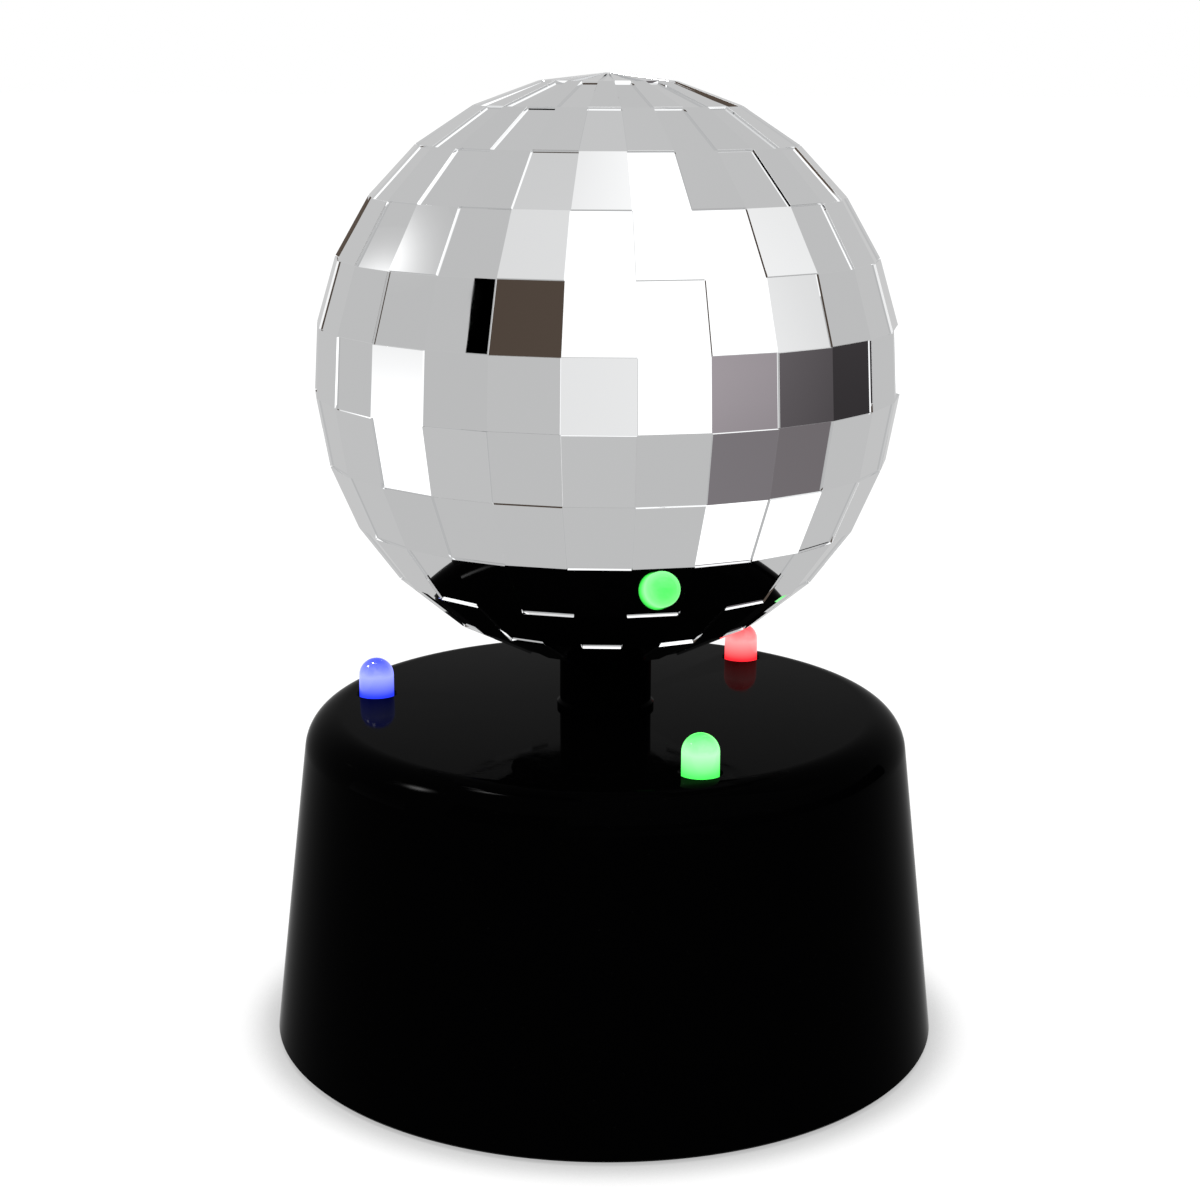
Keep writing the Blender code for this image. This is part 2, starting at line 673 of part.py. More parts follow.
def gear_outline(teeth):
    """Straight-flanked teeth, the first one centred on the X axis."""
    pitch = FULL_TURN / teeth
    root = MODULE * (teeth / 2 - DEDENDUM_SHARE)
    tip = MODULE * (teeth / 2 + ADDENDUM_SHARE)
    points = []
    for tooth in range(teeth):
        for radius, share in (
            (root, -TOOTH_ROOT_SHARE),
            (tip, -TOOTH_TIP_SHARE),
            (tip, TOOTH_TIP_SHARE),
            (root, TOOTH_ROOT_SHARE),
        ):
            points.append(polar(radius, pitch * (tooth + share / 2)))
    return points


def turn_points(points, angle):
    across, up = math.cos(angle), math.sin(angle)
    return [(x * across - y * up, x * up + y * across) for x, y in points]


def gear(name, teeth, bore, place, phase, parent, surface):
    """A gear with a tooth in the direction of phase."""
    made = solid(
        name, lambda form: add_prism(form, gear_outline(teeth), 0, GEAR_FACE), surface, parent, place
    )
    cut(made, "bore", lambda form: add_cylinder(form, bore, -OVERRUN, GEAR_FACE + OVERRUN))
    made.rotation_euler = (0, 0, phase)


def idler(name, level, at, phases, parent, surface):
    """A wheel with a pinion on top of it, turning on a fixed pin."""
    wheel_phase, pinion_phase = phases
    top = LAYER_STEP + GEAR_FACE
    made = solid(
        name,
        lambda form: add_prism(form, gear_outline(WHEEL_TEETH), 0, GEAR_FACE),
        surface,
        parent,
        (*at, level),
    )
    small = turn_points(gear_outline(PINION_TEETH), pinion_phase - wheel_phase)
    join(made, "pinion", lambda form: add_prism(form, small, GEAR_FACE / 2, top))
    bore = ARBOR_RADIUS + SHAFT_GAP
    cut(made, "bore", lambda form: add_cylinder(form, bore, -OVERRUN, top + OVERRUN))
    made.rotation_euler = (0, 0, wheel_phase)


def gap_towards(bearing):
    """Phase of a wheel that has a space between teeth in this direction."""
    return bearing + math.pi / WHEEL_TEETH


def tooth_from(bearing):
    """Phase of a pinion, reached in this direction, with a tooth that looks back along it."""
    return bearing + math.pi


def gearbox_plates(parent, surface):
    """Two discs, kept apart by three hollow pillars on the lower one."""
    across = GEARBOX_RADIUS
    pillar_top = UPPER_PLATE_Z - GAP - LOWER_PLATE_Z
    cup_top = LAYER_B_Z - GAP - LOWER_PLATE_Z
    lower = solid(
        "gearbox_lower_plate",
        lambda form: add_cylinder(form, across, 0, GEARBOX_PLATE, STEM_SEGMENTS),
        surface,
        parent,
        (0, 0, LOWER_PLATE_Z),
    )

    def pillars(form):
        for at in PILLARS:
            add_cylinder(form, BOSS_RADIUS, GEARBOX_PLATE / 2, pillar_top, SMALL_SEGMENTS, at)
        add_cylinder(form, THRUST_CUP_RADIUS, GEARBOX_PLATE / 2, cup_top, SMALL_SEGMENTS)

    def lower_holes(form):
        for at in PILLARS:
            add_cylinder(form, PILOT_RADIUS, -OVERRUN, pillar_top + OVERRUN, SCREW_SEGMENTS, at)
        for at in MOTOR_SCREWS:
            reach = SMALL_SCREW_RADIUS + GAP
            add_cylinder(form, reach, -OVERRUN, GEARBOX_PLATE + OVERRUN, SCREW_SEGMENTS, at)
        for at in (IDLER_1_AT, IDLER_2_AT):
            reach = ARBOR_RADIUS + SHAFT_GAP
            add_cylinder(form, reach, -OVERRUN, GEARBOX_PLATE + OVERRUN, SMALL_SEGMENTS, at)
        reach = MOTOR_SHAFT_RADIUS + GAP
        add_cylinder(form, reach, -OVERRUN, GEARBOX_PLATE + OVERRUN, SMALL_SEGMENTS, MOTOR_AT)
        reach = DRIVE_RADIUS + SHAFT_GAP
        add_cylinder(form, reach, GEARBOX_PLATE, cup_top + OVERRUN, SMALL_SEGMENTS)

    join(lower, "pillars", pillars)
    cut(lower, "holes", lower_holes)

    upper = solid(
        "gearbox_upper_plate",
        lambda form: add_cylinder(form, across, 0, GEARBOX_PLATE, STEM_SEGMENTS),
        surface,
        parent,
        (0, 0, UPPER_PLATE_Z),
    )

    def upper_holes(form):
        for at in PILLARS:
            add_cylinder(form, PILOT_RADIUS, -OVERRUN, GEARBOX_PLATE + OVERRUN, SCREW_SEGMENTS, at)
        for at in (IDLER_1_AT, IDLER_2_AT):
            reach = ARBOR_RADIUS + SHAFT_GAP
            add_cylinder(form, reach, -OVERRUN, GEARBOX_PLATE + OVERRUN, SMALL_SEGMENTS, at)
        reach = DRIVE_RADIUS + SHAFT_GAP
        add_cylinder(form, reach, -OVERRUN, GEARBOX_PLATE + OVERRUN, SMALL_SEGMENTS)

    cut(upper, "holes", upper_holes)


def idler_arbor(name, at, parent, surface):
    low = LOWER_PLATE_Z + GAP
    high = UPPER_PLATE_TOP_Z - GAP
    solid(
        name,
        lambda form: add_cylinder(form, ARBOR_RADIUS, 0, high - low),
        surface,
        parent,
        (*at, low),
    )


def drive_shaft(parent, surface):
    low = LOWER_PLATE_TOP_Z + GAP
    high = HUB_TOP_Z - HUB_CAP - GAP
    solid(
        "drive_shaft",
        lambda form: add_cylinder(form, DRIVE_RADIUS, 0, high - low),
        surface,
        parent,
        (0, 0, low),
    )


def motor(parent, can, cap, magnet):
    """A flat motor hangs under the lower plate. Its can is open below, where the cap closes it."""
    height = MOTOR_TOP_Z - MOTOR_Z
    ceiling = height - MOTOR_WALL
    inside = MOTOR_RADIUS - MOTOR_WALL
    hole = MOTOR_SHAFT_RADIUS + SHAFT_GAP
    place = (*MOTOR_AT, MOTOR_Z)
    profile = [
        (inside, 0),
        (MOTOR_RADIUS, 0),
        (MOTOR_RADIUS, height),
        (hole, height),
        (hole, ceiling),
        (inside, ceiling),
    ]
    shell = solid("motor_can", lambda form: turned(form, profile, ROUND_SEGMENTS), can, parent, place)

    def screw_holes(form):
        for x, y in MOTOR_SCREWS:
            at = (x - MOTOR_AT[0], y - MOTOR_AT[1])
            reach = SMALL_SCREW_RADIUS + GAP
            add_cylinder(form, reach, ceiling - OVERRUN, height + OVERRUN, SCREW_SEGMENTS, at)

    def terminals(extra):
        half = TERMINAL_WIDTH / 2 + extra
        high = TERMINAL_THICKNESS + 2 * extra

        def build(form):
            for angle in TERMINAL_ANGLES:
                near = inside - MOTOR_CAP
                far = MOTOR_RADIUS + TERMINAL_LENGTH
                corners = [(near, -half), (far, -half), (far, half), (near, half)]
                add_prism(form, turn_points(corners, angle), -extra, high - extra)

        return build

    cut(shell, "screw_holes", screw_holes)
    cut(shell, "terminal_notches", terminals(GAP))

    closing = solid(
        "motor_end_cap",
        lambda form: add_ring(form, hole, inside - GAP, 0, MOTOR_CAP, ROUND_SEGMENTS),
        cap,
        parent,
        place,
    )
    join(closing, "terminals", terminals(0))
    solid(
        "motor_magnet",
        lambda form: add_ring(
            form, inside - GAP - MAGNET_WALL, inside - GAP, MOTOR_CAP + GAP, ceiling - GAP, ROUND_SEGMENTS
        ),
        magnet,
        parent,
        place,
    )


def motor_armature(parent, surface):
    """The wound core on its shaft, which carries the motor pinion above the lower plate."""
    core = MOTOR_RADIUS - MOTOR_WALL - GAP - MAGNET_WALL - ARMATURE_GAP
    low = MOTOR_CAP + ARMATURE_ENDPLAY
    high = MOTOR_TOP_Z - MOTOR_Z - MOTOR_WALL - ARMATURE_ENDPLAY
    tip = LAYER_A_Z + GEAR_FACE - MOTOR_Z
    profile = [
        (0, GAP),
        (MOTOR_SHAFT_RADIUS, GAP),
        (MOTOR_SHAFT_RADIUS, low),
        (core, low),
        (core, high),
        (MOTOR_SHAFT_RADIUS, high),
        (MOTOR_SHAFT_RADIUS, tip),
        (0, tip),
    ]
    solid(
        "motor_armature",
        lambda form: turned(form, profile, ROUND_SEGMENTS),
        surface,
        parent,
        (*MOTOR_AT, MOTOR_Z),
    )


def led(colour, at, parent, surface):
    """A round LED: its flange lies under the roof, its dome stands above it, its legs reach the board."""
    flange_top = ROOF_Z - GAP
    low = flange_top - LED_FLANGE
    profile = [(0, 0), (LED_FLANGE_RADIUS, 0), (LED_FLANGE_RADIUS, LED_FLANGE), (LED_RADIUS, LED_FLANGE)]
    dome = LED_LENGTH - LED_RADIUS
    for step in range(DOME_STEPS):
        across, up = polar(LED_RADIUS, step * math.pi / 2 / DOME_STEPS)
        profile.append((across, dome + up))
    profile.append((0, LED_LENGTH))
    made = solid(
        f"led_{colour}", lambda form: turned(form, profile, SMALL_SEGMENTS), surface, parent, (*at, low)
    )

    def legs(form):
        for side in (-1, 1):
            middle = side * LED_LEG_SPACING / 2
            corner = (middle - LED_LEG / 2, -LED_LEG / 2, BOARD_Z - LED_LEG_RUN - low)
            add_box(form, corner, (middle + LED_LEG / 2, LED_LEG / 2, LED_FLANGE / 2))

    join(made, "legs", legs)


def led_board(parent, surface):
    """A ring-shaped board, with one small resistor under it beside each LED."""
    board = solid(
        "led_board",
        lambda form: add_ring(form, BOARD_INNER, BOARD_OUTER, 0, BOARD_THICKNESS, BASE_SEGMENTS),
        surface,
        parent,
        (0, 0, BOARD_Z),
    )

    def resistors(form):
        for azimuth in LED_AZIMUTHS.values():
            x, y = from_front(LED_CIRCLE - BOARD_INNER_REACH / 2, azimuth)
            low = (x - RESISTOR_LENGTH / 2, y - RESISTOR_WIDTH / 2, -RESISTOR_HEIGHT)
            add_box(form, low, (x + RESISTOR_LENGTH / 2, y + RESISTOR_WIDTH / 2, BOARD_THICKNESS / 2))

    def holes(form):
        for at in BOARD_SCREWS:
            add_cylinder(form, PILOT_RADIUS, -OVERRUN, BOARD_THICKNESS + OVERRUN, SCREW_SEGMENTS, at)
        for x, y in LED_PLACES.values():
            for side in (-1, 1):
                middle = x + side * LED_LEG_SPACING / 2
                half = LED_LEG / 2 + GAP
                low = (middle - half, y - half, -OVERRUN)
                add_box(form, low, (middle + half, y + half, BOARD_THICKNESS + OVERRUN))

    join(board, "resistors", resistors)
    cut(board, "holes", holes)


def recess_outline(grown):
    """The battery door in plan, with its screw ear on the right, grown all round."""
    x = RECESS_HALF_LENGTH + grown
    y = RECESS_HALF_WIDTH + grown
    ear_x = RECESS_HALF_LENGTH + DOOR_EAR + grown
    ear_y = DOOR_EAR_WIDTH / 2 + grown
    return [(-x, -y), (x, -y), (x, -ear_y), (ear_x, -ear_y), (ear_x, ear_y), (x, ear_y), (x, y), (-x, y)]


def door_tabs(grown):
    """The two tabs that hook the door into the plate at its left end."""

    def build(form):
        middle = DOOR_THICKNESS / 2
        half = DOOR_TAB_THICKNESS / 2 + grown
        for side in (-1, 1):
            y = side * DOOR_TAB_SPACING / 2
            low = (
                -RECESS_HALF_LENGTH - DOOR_TAB_LENGTH - grown,
                y - DOOR_TAB_WIDTH / 2 - grown,
                middle - half,
            )
            high = (-RECESS_HALF_LENGTH + DOOR_LEDGE, y + DOOR_TAB_WIDTH / 2 + grown, middle + half)
            add_box(form, low, high)

    return build


def base_plate(parent, surface):
    """The round plate that closes the base, with the battery bay moulded on top of it."""
    plate = solid(
        "base_plate",
        lambda form: add_cylinder(form, PLATE_RADIUS, 0, PLATE_THICKNESS, BASE_SEGMENTS),
        surface,
        parent,
        (0, 0, PLATE_Z),
    )
    boss_x = DOOR_SCREW_X
    boss_top = PLATE_THICKNESS + DOOR_BOSS_HEIGHT

    def bay(form):
        low = (-BAY_OUTER_LENGTH, -BAY_OUTER_WIDTH, PLATE_THICKNESS / 2)
        add_box(form, low, (BAY_OUTER_LENGTH, BAY_OUTER_WIDTH, BAY_TOP_Z - PLATE_Z))

    def door_boss(form):
        add_cylinder(form, BOSS_RADIUS, PLATE_THICKNESS / 2, boss_top, SMALL_SEGMENTS, (boss_x, 0))

    def switch_rest(form):
        half = SWITCH_LENGTH / 4
        top = SWITCH_Z - SWITCH_HEIGHT / 2 - GAP - PLATE_Z
        near = SWITCH_BACK_Y + SWITCH_PIN
        low = (-half, near, PLATE_THICKNESS / 2)
        add_box(form, low, (half, near + SWITCH_SLOT_DEPTH, top))

    def room(form):
        low = (-BAY_HALF_LENGTH, -BAY_HALF_WIDTH, -OVERRUN)
        add_box(form, low, (BAY_HALF_LENGTH, BAY_HALF_WIDTH, BAY_ROOF_Z - PLATE_Z))

    def ribs(form):
        low_z = BAY_ROOF_Z - PLATE_Z - RIB_DEPTH
        high_z = BAY_ROOF_Z - PLATE_Z + BAY_ROOF / 2
        reach = BAY_HALF_LENGTH + BAY_WALL / 2
        for first, second in zip(CELL_ROWS, CELL_ROWS[1:]):
            y = (first + second) / 2
            low = (-reach + SPRING_LENGTH * 2, y - RIB_THICKNESS / 2, low_z)
            add_box(form, low, (reach - SPRING_LENGTH * 2, y + RIB_THICKNESS / 2, high_z))

    def screw_holes(form):
        for at in POSTS:
            profile = [
                (0, -OVERRUN),
                (SCREW_HEAD_RADIUS + GAP, -OVERRUN),
                (SCREW_HEAD_RADIUS + GAP, PLATE_SCREW_SEAT),
                (PILOT_RADIUS, PLATE_SCREW_SEAT),
                (PILOT_RADIUS, PLATE_THICKNESS + OVERRUN),
                (0, PLATE_THICKNESS + OVERRUN),
            ]
            turned(form, profile, SCREW_SEGMENTS, at)
        at = (boss_x, 0)
        add_cylinder(form, PILOT_RADIUS, -OVERRUN, boss_top - PILOT_COVER, SCREW_SEGMENTS, at)

    def tab_slots(form):
        level = CELL_Z - PLATE_Z
        half = CONTACT_TAB_WIDTH / 2 + GAP
        thick = CONTACT_THICKNESS / 2 + GAP
        for side, y in ((1, CELL_ROWS[0]), (-1, CELL_ROWS[-1])):
            near = side * (BAY_HALF_LENGTH - GAP)
            far = side * (BAY_OUTER_LENGTH + OVERRUN)
            low = (min(near, far), y - half, level - thick)
            add_box(form, low, (max(near, far), y + half, level + thick))

    join(plate, "bay", bay)
    join(plate, "door_boss", door_boss)
    join(plate, "switch_rest", switch_rest)
    cut(plate, "room", room)
    cut(
        plate,
        "door_recess",
        lambda form: add_prism(form, recess_outline(0), -OVERRUN, DOOR_THICKNESS + GAP),
    )
    cut(plate, "door_tab_pockets", door_tabs(GAP))
    cut(plate, "screw_holes", screw_holes)
    cut(plate, "tab_slots", tab_slots)
    join(plate, "ribs", ribs)


def battery_door(parent, surface):
    door = solid(
        "battery_door",
        lambda form: add_prism(form, recess_outline(-GAP), 0, DOOR_THICKNESS),
        surface,
        parent,
        (0, 0, PLATE_Z),
    )

    def screw_hole(form):
        profile = [
            (0, -OVERRUN),
            (SCREW_HEAD_RADIUS + GAP, -OVERRUN),
            (SCREW_HEAD_RADIUS + GAP, DOOR_SCREW_SEAT),
            (PILOT_RADIUS, DOOR_SCREW_SEAT),
            (PILOT_RADIUS, DOOR_THICKNESS + OVERRUN),
            (0, DOOR_THICKNESS + OVERRUN),
        ]
        turned(form, profile, SCREW_SEGMENTS, (DOOR_SCREW_X, 0))

    join(door, "tabs", door_tabs(0))
    cut(door, "screw_hole", screw_hole)


def battery(name, y, side, parent, surface):
    """A cell along X. Its nub looks to the given side and lies by the flat contact there."""
    profile = [
        (0, 0),
        (CELL_RADIUS, 0),
        (CELL_RADIUS, CELL_LENGTH - CELL_NUB),
        (CELL_NUB_RADIUS, CELL_LENGTH - CELL_NUB),
        (CELL_NUB_RADIUS, CELL_LENGTH),
        (0, CELL_LENGTH),
    ]
    nub_x = side * (BAY_HALF_LENGTH - CONTACT_ROOM)
    flat_x = nub_x - side * CELL_LENGTH
    made = solid(
        name, lambda form: turned(form, profile, ROUND_SEGMENTS), surface, parent, (flat_x, y, CELL_Z)
    )
    made.rotation_euler = (0, side * math.pi / 2, 0)


def add_spring(form, side, y):
    """A conical spring of square wire section wound on an X axis, standing out from a contact plate."""
    rings = []
    count = SPRING_TURNS * SPRING_POINTS_PER_TURN
    reach = SPRING_LENGTH - 2 * SPRING_WIRE
    for index in range(count + 1):
        share = index / count
        turn = index * FULL_TURN / SPRING_POINTS_PER_TURN
        coil = SPRING_FOOT_RADIUS + share * (SPRING_TIP_RADIUS - SPRING_FOOT_RADIUS)
        x = side * (share * reach + SPRING_WIRE / 2)
        ring = []
        for across, along in ((1, 0), (0, 1), (-1, 0), (0, -1)):
            radius = coil + across * SPRING_WIRE
            up, out = polar(radius, turn)
            ring.append(form.verts.new((x + along * SPRING_WIRE, y + up, out)))
        rings.append(ring)
    for first, second in zip(rings, rings[1:]):
        for corner in range(4):
            after = (corner + 1) % 4
            form.faces.new((first[corner], first[after], second[after], second[corner]))
    form.faces.new(rings[0])
    form.faces.new(rings[-1])


def contact(name, side, rows, sprung, tabbed, parent, surface):
    """A plated strip at one end of the bay. Springs stand on it at the rows in sprung."""
    middle = (rows[0] + rows[-1]) / 2
    half = (rows[-1] - rows[0]) / 2 + CONTACT_WIDTH / 2
    seat = side * (BAY_HALF_LENGTH - GAP - CONTACT_THICKNESS)
    outer = side * CONTACT_THICKNESS
    low = (min(0, outer), -half, -CONTACT_HEIGHT / 2)
    high = (max(0, outer), half, CONTACT_HEIGHT / 2)
    strip = solid(name, lambda form: add_box(form, low, high), surface, parent, (seat, middle, CELL_Z))
    for row in sprung:
        join(strip, "spring", lambda form: add_spring(form, -side, row - middle))
    if tabbed:
        near = side * CONTACT_THICKNESS / 2
        far = side * (CONTACT_THICKNESS + CONTACT_TAB)
        wide = CONTACT_TAB_WIDTH / 2
        thick = CONTACT_THICKNESS / 2
        corner = (min(near, far), -wide, -thick)
        join(strip, "tab", lambda form: add_box(form, corner, (max(near, far), wide, thick)))


def foot(name, at, parent, surface):
    solid(
        name,
        lambda form: add_cylinder(form, FOOT_RADIUS, 0, PLATE_Z - GAP, ROUND_SEGMENTS),
        surface,
        parent,
        (*at, 0),
    )


def switch_body(parent, surface):
    """The switch behind the wall, with two pins looking inwards. Its own frame is at its middle."""
    half = SWITCH_LENGTH / 2
    rise = SWITCH_HEIGHT / 2
    body = solid(
        "switch_body",
        lambda form: add_box(form, (-half, -SWITCH_DEPTH, -rise), (half, 0, rise)),
        surface,
        parent,
        (0, SWITCH_FRONT_Y, SWITCH_Z),
    )

    def slot(form):
        reach = (KNOB_WIDTH + KNOB_TRAVEL) / 2 + GAP
        high = KNOB_HEIGHT / 2 + GAP
        add_box(form, (-reach, -SWITCH_SLOT_DEPTH, -high), (reach, OVERRUN, high))

    def pins(form):
        for side in (-1, 1):
            x = side * SWITCH_PIN_SPACING
            low = (x - SWITCH_PIN / 2, -SWITCH_DEPTH - SWITCH_PIN_LENGTH, -SWITCH_PIN / 2)
            add_box(form, low, (x + SWITCH_PIN / 2, -SWITCH_DEPTH + SWITCH_PIN, SWITCH_PIN / 2))

    cut(body, "slot", slot)
    join(body, "pins", pins)


def switch_knob(parent, surface):
    near = SWITCH_FRONT_Y - SWITCH_SLOT_DEPTH + GAP
    half = KNOB_WIDTH / 2
    rise = KNOB_HEIGHT / 2
    solid(
        "switch_knob",
        lambda form: add_box(form, (-half, 0, -rise), (half, KNOB_TIP_Y - near, rise)),
        surface,
        parent,
        (-KNOB_TRAVEL / 2, near, SWITCH_Z),
    )


def smooth_route(stops):
    """Points along a curve that passes through every stop."""
    padded = [2 * stops[0] - stops[1]] + stops + [2 * stops[-1] - stops[-2]]
    points = []
    for a, b, c, d in zip(padded, padded[1:], padded[2:], padded[3:]):
        for step in range(LEAD_STEPS):
            t = step / LEAD_STEPS
            bend = 2 * a - 5 * b + 4 * c - d
            twist = 3 * b - a - 3 * c + d
            points.append((2 * b + (c - a) * t + bend * t**2 + twist * t**3) / 2)
    points.append(stops[-1])
    return points


def lead(name, stops, parent, surface):
    """An insulated wire along a route."""
    stops = [Vector(stop) for stop in stops]
    start = stops[0]
    points = smooth_route(stops)
    curve = bpy.data.curves.new(name, "CURVE")
    curve.dimensions = "3D"
    curve.bevel_depth = LEAD_RADIUS
    curve.bevel_resolution = 2
    curve.use_fill_caps = True
    spline = curve.splines.new("POLY")
    spline.points.add(len(points) - 1)
    for target, point in zip(spline.points, points):
        target.co = (*(point - start), 1)
    curve.materials.append(surface)
    add_object(name, curve, parent, start)


def leads(parent, red, black):
    """Wires from the cells to the switch and the board, and from the board to the motor."""
    under = BOARD_Z - GAP
    bay_side = BAY_OUTER_LENGTH + CONTACT_TAB
    tab_end = BAY_HALF_LENGTH - GAP + CONTACT_TAB
    pin_y = SWITCH_BACK_Y - SWITCH_PIN_LENGTH - GAP
    clear = LEAD_RADIUS + GAP
    tab_top = CELL_Z + CONTACT_THICKNESS / 2 + GAP
    first, last = CELL_ROWS[0], CELL_ROWS[-1]
    middle_ring = (BOARD_INNER + BOARD_OUTER) / 2
    landing = from_front(middle_ring, math.radians(62))
    rise_z = (BAY_TOP_Z + LOWER_PLATE_Z) / 2
    lead(
        "battery_lead_red",
        [
            (tab_end - clear, first, tab_top),
            (tab_end - clear, first, tab_top + LEAD_RISE),
            (bay_side, first, rise_z),
            (*landing, under - LEAD_RISE),
            (*landing, under),
        ],
        parent,
        red,
    )
    over = BAY_TOP_Z + 2 * clear
    pin_x = SWITCH_PIN_SPACING
    lead(
        "battery_lead_black",
        [
            (-tab_end + clear, last, tab_top),
            (-tab_end + clear, last, tab_top + LEAD_RISE),
            (-BAY_OUTER_LENGTH - clear, last + 2 * clear, over),
            (-BAY_HALF_LENGTH / 2, BAY_HALF_WIDTH, over),
            (-2 * pin_x, BAY_OUTER_WIDTH + 3 * clear, over),
            (-pin_x, pin_y - LEAD_RISE, SWITCH_Z + LEAD_RISE),
            (-pin_x, pin_y, SWITCH_Z),
        ],
        parent,
        black,
    )
    lead(
        "switch_lead",
        [
            (pin_x, pin_y, SWITCH_Z),
            (pin_x, pin_y - LEAD_RISE, SWITCH_Z + LEAD_RISE),
            (2 * pin_x, pin_y - LEAD_RISE, rise_z),
            (2 * pin_x, middle_ring, under - LEAD_RISE),
            (2 * pin_x, middle_ring, under),
        ],
        parent,
        black,
    )
    for name, angle, surface in (
        ("motor_lead_red", TERMINAL_ANGLES[0], red),
        ("motor_lead_black", TERMINAL_ANGLES[1], black),
    ):
        solder_z = MOTOR_Z + TERMINAL_THICKNESS + GAP
        across, along = polar(MOTOR_RADIUS + TERMINAL_LENGTH - clear, angle)
        end = (MOTOR_AT[0] + across, MOTOR_AT[1] + along)
        landing = polar(middle_ring, math.atan2(end[1], end[0]))
        lead(
            name,
            [
                (*end, solder_z),
                (*end, solder_z + LEAD_RISE),
                (*landing, under - LEAD_RISE),
                (*landing, under),
            ],
            parent,
            surface,
        )


def main():
    for item in list(bpy.data.objects):
        bpy.data.objects.remove(item, do_unlink=True)

    silver = material("silver_plating", (0.86, 0.87, 0.88), 0.04, 1)
    black = material("gloss_black_plastic", (0.006, 0.006, 0.007), 0.12, 0)
    white = material("gear_acetal", (0.86, 0.85, 0.8), 0.4, 0)
    hub_black = material("hub_plastic", (0.02, 0.02, 0.02), 0.35, 0)
    frame_grey = material("gearbox_plastic", (0.22, 0.23, 0.25), 0.45, 0)
    steel = material("steel", (0.6, 0.6, 0.6), 0.25, 1)
    bronze = material("bush_bronze", (0.6, 0.42, 0.2), 0.35, 1)
    magnet = material("magnet_ferrite", (0.05, 0.05, 0.055), 0.6, 0)
    copper = material("armature_copper", (0.7, 0.36, 0.2), 0.35, 1)
    board_green = material("board_laminate", (0.03, 0.2, 0.08), 0.4, 0)
    nickel = material("contact_nickel", (0.72, 0.7, 0.66), 0.3, 1)
    cell = material("cell_jacket", (0.1, 0.1, 0.12), 0.35, 0)
    rubber = material("foot_rubber", (0.03, 0.03, 0.03), 0.8, 0)
    red_wire = material("wire_red", (0.6, 0.02, 0.02), 0.4, 0)
    black_wire = material("wire_black", (0.015, 0.015, 0.015), 0.4, 0)
    lenses = {
        "red": material("lens_red", (0.9, 0.05, 0.05), 0.1, 0),
        "green": material("lens_green", (0.05, 0.85, 0.1), 0.1, 0),
        "blue": material("lens_blue", (0.05, 0.1, 0.95), 0.1, 0),
    }

    base = empty("base", (0, 0, 0))
    ball = empty("ball_axis", (0, 0, BALL_Z), base)
    idler_2 = empty("idler_2_axis", (*IDLER_2_AT, LAYER_B_Z), base)
    idler_1 = empty("idler_1_axis", (*IDLER_1_AT, LAYER_A_Z), base)
    rotor = empty("motor_axis", (*MOTOR_AT, MOTOR_Z), base)
    slider = empty("switch_slide", (-KNOB_TRAVEL / 2, SWITCH_FRONT_Y, SWITCH_Z), base)

    base_housing(base, black)
    neck_tube(base, black)
    neck_bush(base, bronze)

    ball_upper_shell(ball, silver)
    ball_lower_shell(ball, silver)
    ball_hub(ball, hub_black)
    hub_screw = (SCREW_RADIUS, HUB_SCREW_LENGTH, SCREW_HEAD_RADIUS, SCREW_HEAD)
    for number, side in enumerate((-1, 1), 1):
        place = (side * HUB_SCREW_CIRCLE, 0, HUB_FLANGE_Z + HUB_FLANGE + GAP)
        screw(f"hub_screw_{number}", hub_screw, place, ball, steel, downwards=True)
    drive_shaft(ball, steel)
    bore = DRIVE_RADIUS + SHAFT_GAP
    level = (*AXIS, LAYER_C_Z)
    gear("output_gear", WHEEL_TEETH, bore, level, gap_towards(IDLER_2_BEARING), ball, white)

    phases = (gap_towards(IDLER_1_BEARING), tooth_from(IDLER_2_BEARING))
    idler("idler_gear_2", LAYER_B_Z, IDLER_2_AT, phases, idler_2, white)
    phases = (gap_towards(MOTOR_BEARING), tooth_from(IDLER_1_BEARING))
    idler("idler_gear_1", LAYER_A_Z, IDLER_1_AT, phases, idler_1, white)
    bore = MOTOR_SHAFT_RADIUS + SHAFT_GAP
    level = (*MOTOR_AT, LAYER_A_Z)
    gear("motor_pinion", PINION_TEETH, bore, level, tooth_from(MOTOR_BEARING), rotor, white)
    motor_armature(rotor, copper)
    motor(base, steel, frame_grey, magnet)
    small_screw = (
        SMALL_SCREW_RADIUS,
        GEARBOX_PLATE + 2 * GAP + MOTOR_WALL + GAP,
        SMALL_SCREW_HEAD_RADIUS,
        SMALL_SCREW_HEAD,
    )
    for number, at in enumerate(MOTOR_SCREWS, 1):
        place = (*at, LOWER_PLATE_TOP_Z + GAP)
        screw(f"motor_screw_{number}", small_screw, place, base, steel, downwards=True)

    gearbox_plates(base, frame_grey)
    idler_arbor("idler_arbor_1", IDLER_1_AT, base, steel)
    idler_arbor("idler_arbor_2", IDLER_2_AT, base, steel)
    tip_z = ROOF_Z - PILOT_COVER - GAP
    low_z = LOWER_PLATE_Z - GAP
    for number, at in enumerate(PILLARS, 1):
        sizes = (SCREW_RADIUS, tip_z - low_z, SCREW_HEAD_RADIUS, SCREW_HEAD)
        screw(f"gearbox_screw_{number}", sizes, (*at, low_z), base, steel)

    for colour, at in LED_PLACES.items():
        led(colour, at, base, lenses[colour])
    led_board(base, board_green)
    low_z = BOARD_Z - GAP
    for number, at in enumerate(BOARD_SCREWS, 1):
        sizes = (SCREW_RADIUS, tip_z - low_z, SCREW_HEAD_RADIUS, SCREW_HEAD)
        screw(f"led_board_screw_{number}", sizes, (*at, low_z), base, steel)

